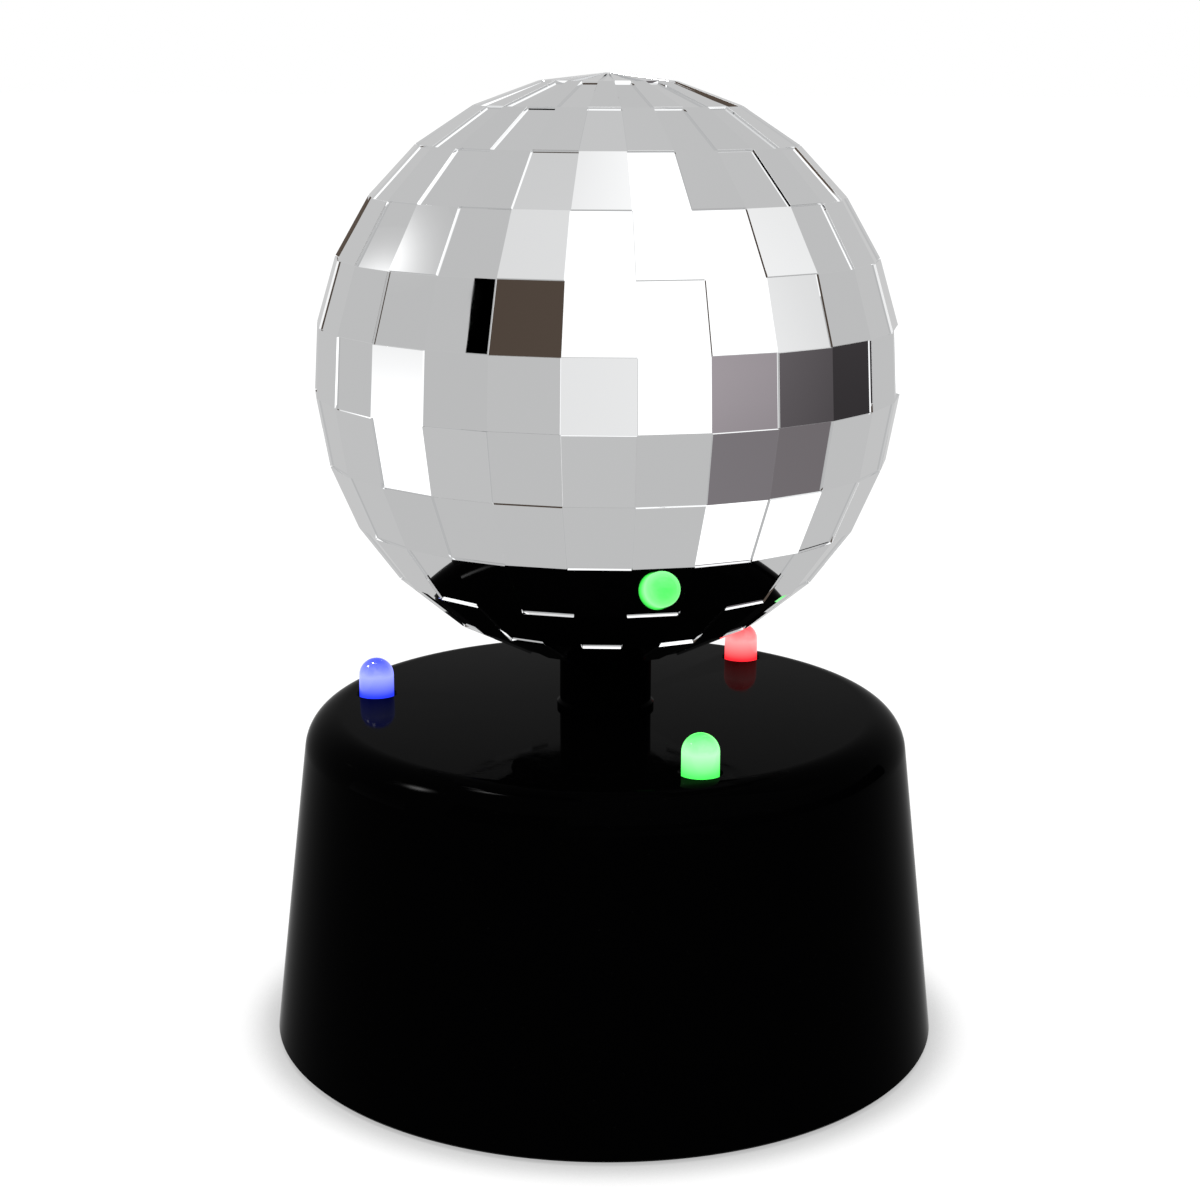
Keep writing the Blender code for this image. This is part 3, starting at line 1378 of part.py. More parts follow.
    base_plate(base, black)
    low_z = PLATE_Z + PLATE_SCREW_SEAT - GAP
    for number, at in enumerate(POSTS, 1):
        sizes = (SCREW_RADIUS, PLATE_SCREW_LENGTH, SCREW_HEAD_RADIUS, SCREW_HEAD)
        screw(f"base_screw_{number}", sizes, (*at, low_z), base, steel)
    battery_door(base, black)
    sizes = (SCREW_RADIUS, DOOR_SCREW_LENGTH, SCREW_HEAD_RADIUS, DOOR_SCREW_HEAD)
    place = (DOOR_SCREW_X, 0, PLATE_Z + DOOR_SCREW_SEAT - GAP)
    screw("battery_door_screw", sizes, place, base, steel)

    for number, (y, side) in enumerate(zip(CELL_ROWS, (1, -1, 1)), 1):
        battery(f"battery_{number}", y, side, base, cell)
    first, second, third = CELL_ROWS
    contact("contact_positive", 1, [first], [], True, base, nickel)
    contact("contact_link_left", -1, [first, second], [first], False, base, nickel)
    contact("contact_link_right", 1, [second, third], [second], False, base, nickel)
    contact("contact_negative", -1, [third], [third], True, base, nickel)

    for number, turn in enumerate((0, 1, 2, 3), 1):
        azimuth = FOOT_AZIMUTH if turn % 2 else -FOOT_AZIMUTH
        at = from_front(FOOT_CIRCLE, azimuth + math.pi * (turn // 2))
        foot(f"foot_{number}", at, base, rubber)
    switch_body(base, hub_black)
    switch_knob(slider, hub_black)
    leads(base, red_wire, black_wire)


main()
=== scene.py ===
"""Looks of the mirror ball light: fine meshes, finishes, studio and camera.

Metres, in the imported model's frame: +Z up, the front of the light looks along -Y.
Azimuths are measured from the front towards +X.
"""

import cmath
import math

import bmesh
import bpy
from mathutils import Matrix, Vector


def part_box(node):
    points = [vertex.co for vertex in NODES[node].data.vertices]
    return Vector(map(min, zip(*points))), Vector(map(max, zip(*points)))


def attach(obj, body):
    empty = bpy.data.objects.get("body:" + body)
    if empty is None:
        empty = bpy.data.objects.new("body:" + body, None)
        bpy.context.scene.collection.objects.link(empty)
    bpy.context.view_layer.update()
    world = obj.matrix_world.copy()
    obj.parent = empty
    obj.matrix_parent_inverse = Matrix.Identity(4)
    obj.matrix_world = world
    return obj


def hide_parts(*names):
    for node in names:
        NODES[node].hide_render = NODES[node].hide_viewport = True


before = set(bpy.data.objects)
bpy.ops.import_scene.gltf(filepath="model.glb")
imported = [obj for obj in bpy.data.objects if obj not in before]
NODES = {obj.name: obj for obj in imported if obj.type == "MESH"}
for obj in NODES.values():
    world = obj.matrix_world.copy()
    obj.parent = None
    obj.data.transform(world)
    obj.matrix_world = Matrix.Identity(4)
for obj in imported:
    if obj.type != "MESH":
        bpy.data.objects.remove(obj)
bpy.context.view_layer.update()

MM = 0.001
TURN = 2 * math.pi

# The camera, fitted to the photograph
CAMERA_PLACE = (0.0, -0.30072, 0.135368)
CAMERA_PITCH = math.radians(13.45)
CAMERA_YAW = math.radians(-0.158)
CAMERA_ROLL = math.radians(-0.214)
FOCAL_PIXELS = 2186.3
PHOTO_WIDTH = 1200
SENSOR = 36

# Sizes that the source of the solids gives
RIM_LIFT = 0.4 * MM
TOP_Z = 47.2 * MM
RIM_RADIUS = 47.64 * MM
TOP_RADIUS = 42.16 * MM
SHOULDER = 5.43 * MM
WALL = 2.0 * MM
ROOF_Z = TOP_Z - WALL
STEM_RADIUS = 6.5 * MM
STEM_BORE = 4.6 * MM
STEM_TOP_Z = 56.7 * MM
SPIGOT_RADIUS = 5.4 * MM
COLLAR_RADIUS = 6.9 * MM
COLLAR_HEIGHT = 0.7 * MM
BALL_RADIUS = 40 * MM
BALL_WALL = 2.0 * MM
BALL_Z = 94.888 * MM
COLUMNS = 27
STEP = TURN / COLUMNS
COLUMN_START = math.radians(-8)
SEAM_RING = 7
FLOOR_RING = 12
LED_CIRCLE = 33.6 * MM
LED_AZIMUTHS = {
    "green": math.radians(21.5),
    "red": math.radians(141.5),
    "blue": math.radians(261.5),
}
LED_RADIUS = 2.5 * MM
LEG_REACH = 1.27 * MM
BOARD_THICK = 1.6 * MM
GAP = 0.3 * MM
PILOT = 1.3 * MM
PILOT_COVER = 0.6 * MM
BOSS = 2.6 * MM
SHAFT_BORE = 1.6 * MM
ARBOR_BORE = 1.1 * MM
MODULE = 0.5 * MM
WHEEL_TEETH = 36
PINION_TEETH = 10
FACE_WIDTH = 2.2 * MM
PLATE_THICK = 1.5 * MM

# The step round each raised facet
RELIEF = 0.29 * MM
LEDGE = 0.015 * MM
DRAFT = 0.012 * MM
CHAMFER = 0.015 * MM

# Studio tones, and how far away its cards stand
BACKDROP = 0.64
BACKDROP_HIGH = 0.69
FAR, NEAR = 1.2, 0.5
LOW_CARD_Z = 50 * MM
WHITE = (1, 1, 1, 1)


def numbered(stem, count):
    return [f"{stem}_{number}" for number in range(1, count + 1)]


def around(items):
    """Each item with the next one, and the last with the first."""
    return zip(items, items[1:] + items[:1])


def node_middle(name):
    low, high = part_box(name)
    return (low + high) / 2


def upright(name):
    """Place of the axis of an upright round solid, its radius, foot and top."""
    low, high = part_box(name)
    return node_middle(name)[:2], (high.x - low.x) / 2, low.z, high.z


def axes(stem, count):
    """Where the upright axes of numbered nodes stand."""
    return [node_middle(name)[:2] for name in numbered(stem, count)]


def polar(radius, angle, at=(0, 0)):
    return at[0] + radius * math.cos(angle), at[1] + radius * math.sin(angle)


def from_front(radius, azimuth, height):
    return Vector((radius * math.sin(azimuth), -radius * math.cos(azimuth), height))


def on_sphere(radius, azimuth, elevation, centre=(0, 0, BALL_Z)):
    flat = from_front(radius * math.cos(elevation), azimuth, radius * math.sin(elevation))
    return flat + Vector(centre)


def way_to(place, angle, axis):
    """A turn about an axis, then a move to a place."""
    return Matrix.Translation(place) @ Matrix.Rotation(angle, 4, axis)


def add_object(name, data):
    made = bpy.data.objects.new(name, data)
    bpy.context.scene.collection.objects.link(made)
    return made


def make_camera():
    pitch, yaw, roll = CAMERA_PITCH, CAMERA_YAW, CAMERA_ROLL
    ahead = from_front(-math.cos(pitch), -yaw, 0)
    level = Vector((math.cos(yaw), -math.sin(yaw), 0))
    forward = Vector((ahead.x, ahead.y, -math.sin(pitch)))
    above = level.cross(forward)
    right = level * math.cos(roll) - above * math.sin(roll)
    up = level * math.sin(roll) + above * math.cos(roll)
    data = bpy.data.cameras.new("camera")
    data.sensor_width = SENSOR
    data.lens = SENSOR * FOCAL_PIXELS / PHOTO_WIDTH
    data.clip_start, data.clip_end = 0.01, 50
    made = add_object("camera", data)
    turn = Matrix((right, up, -forward)).transposed().to_4x4()
    made.matrix_world = Matrix.Translation(CAMERA_PLACE) @ turn
    bpy.context.scene.camera = made


# Shader helpers


def feed(socket, value):
    """Links a socket to another one, or sets its value."""
    if isinstance(value, bpy.types.NodeSocket):
        socket.id_data.links.new(value, socket)
    else:
        socket.default_value = value


def node(tree, kind, *feeds, **values):
    """A shader node. Feeds go to its inputs in order, values to the inputs or settings named."""
    made = tree.nodes.new(f"ShaderNode{kind}")
    for socket, value in zip(made.inputs, feeds):
        feed(socket, value)
    for key, value in values.items():
        if key in made.inputs:
            feed(made.inputs[key], value)
        else:
            setattr(made, key, value)
    return made


def as_colour(value):
    return (value,) * 3 if isinstance(value, (int, float)) else value


def ramp(tree, source, stops):
    """A colour ramp fed by a socket. Stops are (position, colour or grey)."""
    made = node(tree, "ValToRGB", source)
    elements = made.color_ramp.elements
    while len(elements) < len(stops):
        elements.new(0.5)
    for element, (position, colour) in zip(elements, stops):
        element.position = position
        element.color = (*as_colour(colour), 1)
    return made.outputs["Color"]


def spread(tree, source, low, high):
    """Maps a value from 0..1 to low..high."""
    return node(tree, "MapRange", source, 0, 1, low, high).outputs["Result"]


def noise(tree, scale, detail=3, roughness=0.5, stretch=(1, 1, 1)):
    where = node(tree, "TexCoord").outputs["Object"]
    place = node(tree, "Mapping", where, Scale=stretch).outputs["Vector"]
    made = node(tree, "TexNoise", place, Scale=scale, Detail=detail, Roughness=roughness)
    return made.outputs["Fac"]


def attribute(tree, name, output="Fac"):
    return node(tree, "Attribute", attribute_name=name).outputs[output]


def mix(tree, share, low, high):
    return node(tree, "MixShader", share, low, high).outputs[0]


def by_ray(tree, other, mirrored, seen):
    """Shaders for what the camera sees, for gloss and glass, and for all other rays."""
    rays = node(tree, "LightPath").outputs
    kinds = rays["Is Glossy Ray"], rays["Is Transmission Ray"]
    either = node(tree, "Math", *kinds, operation="MAXIMUM").outputs[0]
    return mix(tree, rays["Is Camera Ray"], mix(tree, either, other, mirrored), seen)


def clear_behind(tree, shader):
    """A shader that lets light through from behind."""
    behind = node(tree, "NewGeometry").outputs["Backfacing"]
    return mix(tree, behind, shader, node(tree, "BsdfTransparent").outputs[0])


def bare_tree(owner, output):
    """An emptied node tree, and the surface socket of its output."""
    owner.use_nodes = True
    owner.node_tree.nodes.clear()
    return owner.node_tree, node(owner.node_tree, output).inputs["Surface"]


# Finishes, which pieces take by their names

FINISHES = {}
# Colour and roughness, then grain, its depth and unevenness where they are not the usual ones
MOULDINGS = {
    "ball_inside": ((0.32, 0.33, 0.34), 0.5),
    "satin_black": ((0.02, 0.02, 0.021), 0.45),
    "satin_cover": ((0.014, 0.014, 0.015), 0.42, 1300, 0.25, 0.15),
    "gear_acetal": ((0.83, 0.82, 0.77), 0.38, 1500, 0.05, 0.03),
    "gearbox_slate": ((0.17, 0.18, 0.2), 0.45),
    "foot_rubber": ((0.025, 0.025, 0.026), 0.8, 1600, 0.4),
    "magnet_ferrite": ((0.05, 0.05, 0.055), 0.7, 1200, 0.3),
    "board_laminate": ((0.012, 0.13, 0.045), 0.35, 1800, 0.1, 0.2),
    "resistor_ceramic": ((0.02, 0.02, 0.022), 0.5, 2500, 0.1),
    "cell_jacket": ((0.035, 0.035, 0.04), 0.3, 1500, 0.03, 0.1),
    "wire_red": ((0.5, 0.012, 0.012), 0.4),
    "wire_black": ((0.012, 0.012, 0.012), 0.4),
}
# Colour and roughness, then stretch and scale of the lines and tarnish
METALS = {
    "steel": ((0.56, 0.56, 0.57), 0.32),
    "ground_steel": ((0.62, 0.62, 0.63), 0.2, (1, 1, 12)),
    "bush_bronze": ((0.55, 0.38, 0.18), 0.4),
    "contact_nickel": ((0.66, 0.62, 0.55), 0.25),
    "armature_copper": ((0.72, 0.34, 0.16), 0.35, (1, 1, 30)),
    "cell_band": ((0.66, 0.36, 0.14), 0.3, (1, 1, 1), 900, 0.08),
}
# Colours of the body and of its core
LENSES = {
    "red": ((0.9, 0.02, 0.03), (1.0, 0.3, 0.3)),
    "green": ((0.06, 0.85, 0.09), (0.36, 1.0, 0.4)),
    "blue": ((0.02, 0.04, 0.95), (0.3, 0.34, 1.0)),
}


def new_finish(name, **uniform):
    """The tree and inputs of a finish, with the values that are the same all over it."""
    made = bpy.data.materials.new(name)
    made.use_nodes = True
    inputs = made.node_tree.nodes["Principled BSDF"].inputs
    for key, value in uniform.items():
        inputs[key].default_value = value
    FINISHES[name] = made
    return made.node_tree, inputs


def dress(tree, inputs, base, rough, relief=None, strength=0.0, distance=0.0):
    """Feeds colour, roughness and relief to a shader."""
    feed(inputs["Base Color"], base)
    feed(inputs["Roughness"], rough)
    if relief:
        fine = node(tree, "Bump", Height=relief, Strength=strength, Distance=distance)
        feed(inputs["Normal"], fine.outputs["Normal"])


def scaled(colour, factor):
    return tuple(min(1, value * factor) for value in colour)


def mirror_plating(name, light, dark):
    """Vacuum plating: each facet a little lighter or darker, with faint smears."""
    tree, inputs = new_finish(name, Metallic=1)
    tint = ramp(tree, attribute(tree, "tile"), [(0, dark), (1, light)])
    smear = noise(tree, 180, 5, 0.6, (1, 1, 0.4))
    level = ramp(tree, smear, [(0.45, 0.006), (0.75, 0.03)])
    dress(tree, inputs, tint, level, noise(tree, 70, 1), 0.04, 0.0002)


def gloss_black():
    """Polished black moulding with fine dust, faint hairlines and a trace of sink."""
    tree, inputs = new_finish("gloss_black", IOR=1.031)
    dust = noise(tree, 2600, 2, 0.6)
    tint = ramp(tree, dust, [(0.68, (0.0003, 0.0003, 0.00035)), (0.8, (0.002, 0.002, 0.0021))])
    hair = noise(tree, 500, 4, 0.6, (1, 1, 0.05))
    level = ramp(tree, hair, [(0.4, 0.045), (0.8, 0.13)])
    dress(tree, inputs, tint, level, noise(tree, 120, 2), 0.03, 0.0003)


def moulded(name, colour, rough, grain=900, depth=0.15, vary=0.12):
    """Moulded plastic or rubber with fine spark grain and a slight unevenness in colour."""
    tree, inputs = new_finish(name, IOR=1.46)
    stops = [(0.3, scaled(colour, 1 - vary)), (0.7, scaled(colour, 1 + vary))]
    fine = noise(tree, grain, 3, 0.6)
    level = spread(tree, fine, max(0, rough - 0.1), min(1, rough + 0.1))
    dress(tree, inputs, ramp(tree, noise(tree, 140, 4), stops), level, fine, depth, 0.0001)


def metal(name, colour, rough, stretch=(1, 1, 1), scale=700, vary=0.12):
    """Metal with fine drawn or turned lines and a little tarnish."""
    tree, inputs = new_finish(name, Metallic=1)
    tarnish = noise(tree, 160, 5, 0.6)
    tint = ramp(tree, tarnish, [(0.3, scaled(colour, 1 - 2 * vary)), (0.6, colour)])
    lines = noise(tree, scale, 3, 0.6, stretch)
    level = spread(tree, lines, max(0.05, rough - 0.12), rough + 0.12)
    dress(tree, inputs, tint, level, lines, 0.12, 0.00006)


def glowing(name, body, core):
    """Tinted epoxy that glows, hottest below the crown of the dome."""
    tree, inputs = new_finish(name, **{"Emission Strength": 1.35})
    cloud = noise(tree, 400, 2)
    tint = ramp(tree, cloud, [(0.3, scaled(body, 0.7)), (0.7, body)])
    dress(tree, inputs, tint, spread(tree, cloud, 0.06, 0.14))
    stops = [(0, scaled(body, 0.2)), (0.4, body), (0.72, core), (1, body)]
    feed(inputs["Emission Color"], ramp(tree, attribute(tree, "crown"), stops))


# Outlines


def oblong(left, right, low, high):
    return [(left, low), (right, low), (right, high), (left, high)]


def arc(centre, radius, first, last, count):
    span = last - first
    return [polar(radius, first + span * index / count, centre) for index in range(count + 1)]


def rounded(points, reach, count=4, closed=False):
    """Rounds the corners of a flat line. An open line keeps its two ends."""
    made = []
    for index, point in enumerate(points):
        if not closed and index in (0, len(points) - 1):
            made.append(point)
            continue
        here = Vector(point)
        back = Vector(points[index - 1]) - here
        ahead = Vector(points[(index + 1) % len(points)]) - here
        cut = min(reach, 0.45 * back.length, 0.45 * ahead.length)
        first = here + back.normalized() * cut
        last = here + ahead.normalized() * cut
        for step in range(count + 1):
            t = step / count
            made.append(tuple(first * (1 - t) ** 2 + here * 2 * t * (1 - t) + last * t**2))
    return made


def turned_by(points, angle):
    across, up = math.cos(angle), math.sin(angle)
    return [(x * across - y * up, x * up + y * across) for x, y in points]


# Shapes, which are added to a bmesh


def ring_faces(form, low, high):
    """Joins two rings of corners. A ring on the axis is one corner, many times."""
    for (first, second), (fourth, third) in zip(around(low), around(high)):
        outline = dict.fromkeys((first, second, third, fourth))
        if len(outline) > 2:
            form.faces.new(outline)


def turn_rings(form, profile, count, place):
    """Rings of corners for (radius, height) points, at the places that a function gives."""
    rings = []
    for radius, height in profile:
        if radius < 1e-9:
            rings.append([form.verts.new(place(0, 0, height))] * count)
        else:
            rings.append([form.verts.new(place(radius, n, height)) for n in range(count)])
    return rings


def lathe(form, profile, segments, at=(0, 0)):
    """Turns a profile about an upright axis, and closes it if both its ends are off the axis."""

    def place(radius, number, height):
        return (*polar(radius, TURN * number / segments, at), height)

    rings = turn_rings(form, profile, segments, place)
    pairs = list(zip(rings, rings[1:]))
    if rings[0][0] != rings[0][1] and rings[-1][0] != rings[-1][1]:
        pairs.append((rings[-1], rings[0]))
    for low, high in pairs:
        ring_faces(form, low, high)


def spun(profile, segments=72, at=(0, 0)):
    return lambda form: lathe(form, profile, segments, at)


def loft(form, rings, capped=True):
    """Joins rings of points, and closes the two ends or leads the last ring back to the first."""
    rows = [[form.verts.new(point) for point in ring] for ring in rings]
    pairs = list(zip(rows, rows[1:]))
    if capped:
        form.faces.new(rows[0][::-1])
        form.faces.new(rows[-1])
    else:
        pairs.append((rows[-1], rows[0]))
    for first, second in pairs:
        ring_faces(form, first, second)


def prism(form, outline, low, high, at=(0, 0)):
    loft(form, [[(x + at[0], y + at[1], z) for x, y in outline] for z in (low, high)])


def together(*builds):
    """One build function for several."""

    def build(form):
        for each in builds:
            each(form)

    return build


def pins(places, radius, low, high, segments=24):
    return together(*(spun(oblong(0, radius, low, high), segments, at) for at in places))


def box_into(form, low, high):
    size = [b - a for a, b in zip(low, high)]
    middle = [(a + b) / 2 for a, b in zip(low, high)]
    where = Matrix.Translation(middle) @ Matrix.Diagonal((*size, 1))
    bmesh.ops.create_cube(form, size=1, matrix=where)


def tube(form, points, radius, sides=8):
    """A round wire along a line of points."""
    rings = []
    across = None
    for index, point in enumerate(points):
        ahead = points[min(index + 1, len(points) - 1)] - points[max(index - 1, 0)]
        ahead.normalize()
        if across is None:
            across = ahead.orthogonal().normalized()
        across = (across - ahead * across.dot(ahead)).normalized()
        up = ahead.cross(across)
        ring = []
        for side in range(sides):
            angle = TURN * side / sides
            ring.append(point + (across * math.cos(angle) + up * math.sin(angle)) * radius)
        rings.append(ring)
    loft(form, rings)


# Pieces


def mesh_from(name, build, mesh=None):
    """A mesh from a build function, which adds to the mesh that is given."""
    form = bmesh.new()
    if mesh:
        form.from_mesh(mesh)
    build(form)
    bmesh.ops.recalc_face_normals(form, faces=form.faces)
    mesh = mesh or bpy.data.meshes.new(name)
    form.to_mesh(mesh)
    form.free()
    return mesh


def smoothed(mesh, angle):
    mesh.shade_smooth()
    mesh.set_sharp_from_angle(angle=math.radians(angle))


def soften(made, width):
    """Breaks the sharp edges of a piece."""
    modifier = made.modifiers.new("broken_edges", "BEVEL")
    modifier.width = width
    modifier.segments = 2
    modifier.limit_method = "ANGLE"
    modifier.angle_limit = math.radians(35)
    modifier.harden_normals = True


def piece(name, mesh, finish, replaced, smooth=35, rounding=0.0, body="base", slot=None):
    """An object on its body, with its finishes and the solid that it stands for.

    Its slot argument is not used.
    """
    if smooth:
        smoothed(mesh, smooth)
    if len(mesh.materials):
        mesh.materials.clear()
    for each in finish.split():
        mesh.materials.append(FINISHES[each])
    made = add_object(name, mesh)
    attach(made, body)
    if replaced:
        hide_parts(replaced)
    slot or finish.split()[0]
    if rounding:
        soften(made, rounding)
    return made


def built(name, build, finish, replaced=None, **rest):
    piece(name, mesh_from(name, build), finish, replaced, **rest)


def carved(name, build, joins, cuts, finish, replaced, grown=None, smooth=32, **rest):
    """A piece with shapes joined to it and cut from it. Grown adds closed shapes at the end."""
    target = add_object(f"{name}_blank", mesh_from(name, build))
    helpers = []
    for number, shape in enumerate(joins + cuts):
        tool = f"{name}_tool_{number}"
        helpers.append(add_object(tool, mesh_from(tool, shape)))
        modifier = target.modifiers.new(f"step_{number}", "BOOLEAN")
        modifier.object = helpers[-1]
        modifier.operation = "UNION" if number < len(joins) else "DIFFERENCE"
        modifier.solver = "EXACT"
    bpy.context.view_layer.update()
    graph = bpy.context.evaluated_depsgraph_get()
    mesh = bpy.data.meshes.new_from_object(target.evaluated_get(graph))
    for helper in helpers + [target]:
        bpy.data.objects.remove(helper)
    if grown:
        mesh_from(name, grown, mesh)
    return piece(name, mesh, finish, replaced, smooth, **rest)


# Mirror ball

PLATED, STEPPED, INNER = range(3)


def tile_number(row, column):
    """A fixed, uneven number from 0 to 1 for each facet."""
    value = math.sin(row * 12.9898 + column * 78.233 + 4.1) * 43758.5453
    return value - math.floor(value)


def ball_corner(ring, column):
    return on_sphere(BALL_RADIUS, COLUMN_START + column * STEP, math.pi / 2 - ring * STEP)


def inset(corners, normal, amount, lift):
    """Corners of a flat outline moved inwards and lifted."""
    moved = []
    for index, here in enumerate(corners):
        back = (corners[index - 1] - here).normalized()
        ahead = (corners[(index + 1) % len(corners)] - here).normalized()
        inwards = (back + ahead).normalized()
        moved.append(here + inwards * (amount / math.sin(back.angle(ahead) / 2)) + normal * lift)
    return moved


def facet_faces(form, layer, row, column):
    """One facet of the ball. Every second one stands proud, like a chess board.

    Columns count both ways from the front, so that the two that are alike meet at the back.
    """
    places = ((row + 1, column), (row + 1, column + 1), (row, column + 1), (row, column))
    corners = [ball_corner(*place) for place in places]
    if row == 0:
        corners = corners[:3]
    normal = (corners[1] - corners[0]).cross(corners[2] - corners[0]).normalized()

    def add(outline, surface):
        face = form.faces.new([form.verts.new(point) for point in outline])
        face.material_index = surface
        face[layer] = tile_number(row, column)

    if (row + column) % 2 == 0:
        add(corners, PLATED)
        return
    outlines = [
        corners,
        inset(corners, normal, LEDGE, 0),
        inset(corners, normal, LEDGE + DRAFT, RELIEF - CHAMFER),
        inset(corners, normal, LEDGE + DRAFT + CHAMFER, RELIEF),
    ]
    for low, high in zip(outlines, outlines[1:]):
        for (first, second), (fourth, third) in zip(around(low), around(high)):
            add((first, second, third, fourth), STEPPED)
    add(outlines[-1], PLATED)


def ring_point(ring, radius):
    """Reach and height of a ring of the ball's corners."""
    elevation = math.pi / 2 - ring * STEP
    return radius * math.cos(elevation), BALL_Z + radius * math.sin(elevation)


def column_place(radius, column, height):
    return from_front(radius, COLUMN_START + column * STEP, height)


def surfaced(form, build, surface):
    """Gives the faces that a build function adds one material."""
    before = set(form.faces)
    build(form)
    for face in set(form.faces) - before:
        face.material_index = surface


def turned_open(form, profile, surface):
    """Turns an open profile with the ball's own columns."""

    def build(form):
        rings = turn_rings(form, profile, COLUMNS, column_place)
        for low, high in zip(rings, rings[1:]):
            ring_faces(form, low, high)

    surfaced(form, build, surface)


def holed_floor(form, z, radii, places, surface):
    """A flat ring with the ball's own corners, and blind holes for the screws of the hub."""
    sides, bottom = 24, z - BALL_WALL + PILOT_COVER

    def build(form):
        loops = [[column_place(radius, n, z) for n in range(COLUMNS)] for radius in radii]
        for at in places:
            turns = [TURN * number / sides for number in range(sides)]
            loops.append([from_front(PILOT, turn, z) + Vector((*at, 0)) for turn in turns])
            lathe(form, [(PILOT, z), (PILOT, bottom), (0, bottom)], sides, at)
        edges = []
        for loop in loops:
            corners = [form.verts.new(point) for point in loop]
            edges += [form.edges.new(pair) for pair in around(corners)]
        bmesh.ops.triangle_fill(form, edges=edges, use_beauty=True, normal=(0, 0, 1))

    surfaced(form, build, surface)


def make_ball():
    inside = BALL_RADIUS - BALL_WALL
    hub_hole, lip, lip_wall, lip_gap = 4.1 * MM, 2.5 * MM, 1.3 * MM, 0.9 * MM
    reach, seam = ring_point(SEAM_RING, BALL_RADIUS)
    seam_inside = math.sqrt(inside**2 - (seam - BALL_Z) ** 2)
    foot, floor = ring_point(FLOOR_RING, BALL_RADIUS)
    floor_reach, floor_top = foot - 1.5 * MM, floor + BALL_WALL

    def close_upper(form):
        profile = [(reach, seam), (seam_inside, seam)]
        profile += [ring_point(ring, inside) for ring in range(SEAM_RING - 1, 0, -1)]
        turned_open(form, profile + [(0, BALL_Z + inside)], INNER)

    def close_lower(form):
        rim = seam_inside - lip_gap
        profile = [(reach, seam), (rim, seam), (rim, seam + lip)]
        profile += [(rim - lip_wall, seam + lip), (rim - lip_wall, seam - lip)]
        profile += [ring_point(ring, inside) for ring in range(SEAM_RING + 1, FLOOR_RING)]
        turned_open(form, profile + [(floor_reach, floor_top)], INNER)
        turned_open(form, [(hub_hole, floor_top), (hub_hole, floor)], INNER)
        holed_floor(form, floor_top, (floor_reach, hub_hole), axes("hub_screw", 2), INNER)
        turned_open(form, [(hub_hole, floor), (foot, floor)], STEPPED)

    halves = {
        "upper": (range(SEAM_RING), close_upper),
        "lower": (range(SEAM_RING, FLOOR_RING), close_lower),
    }
    for half, (rows, closing) in halves.items():

        def build(form):
            layer = form.faces.layers.float.new("tile")
            for row in rows:
                for column in range(-(COLUMNS // 2), COLUMNS // 2 + 1):
                    facet_faces(form, layer, row, column)
            closing(form)
            bmesh.ops.remove_doubles(form, verts=form.verts, dist=0.001 * MM)

        shell, solid = f"mirror_shell_{half}", f"ball_{half}_shell"
        finish = "mirror_plating plated_walls ball_inside"
        built(shell, build, finish, solid, smooth=None, body="ball", slot="silver_plating")


# Housing and stem

BLACK_SLOT = "gloss_black_plastic"


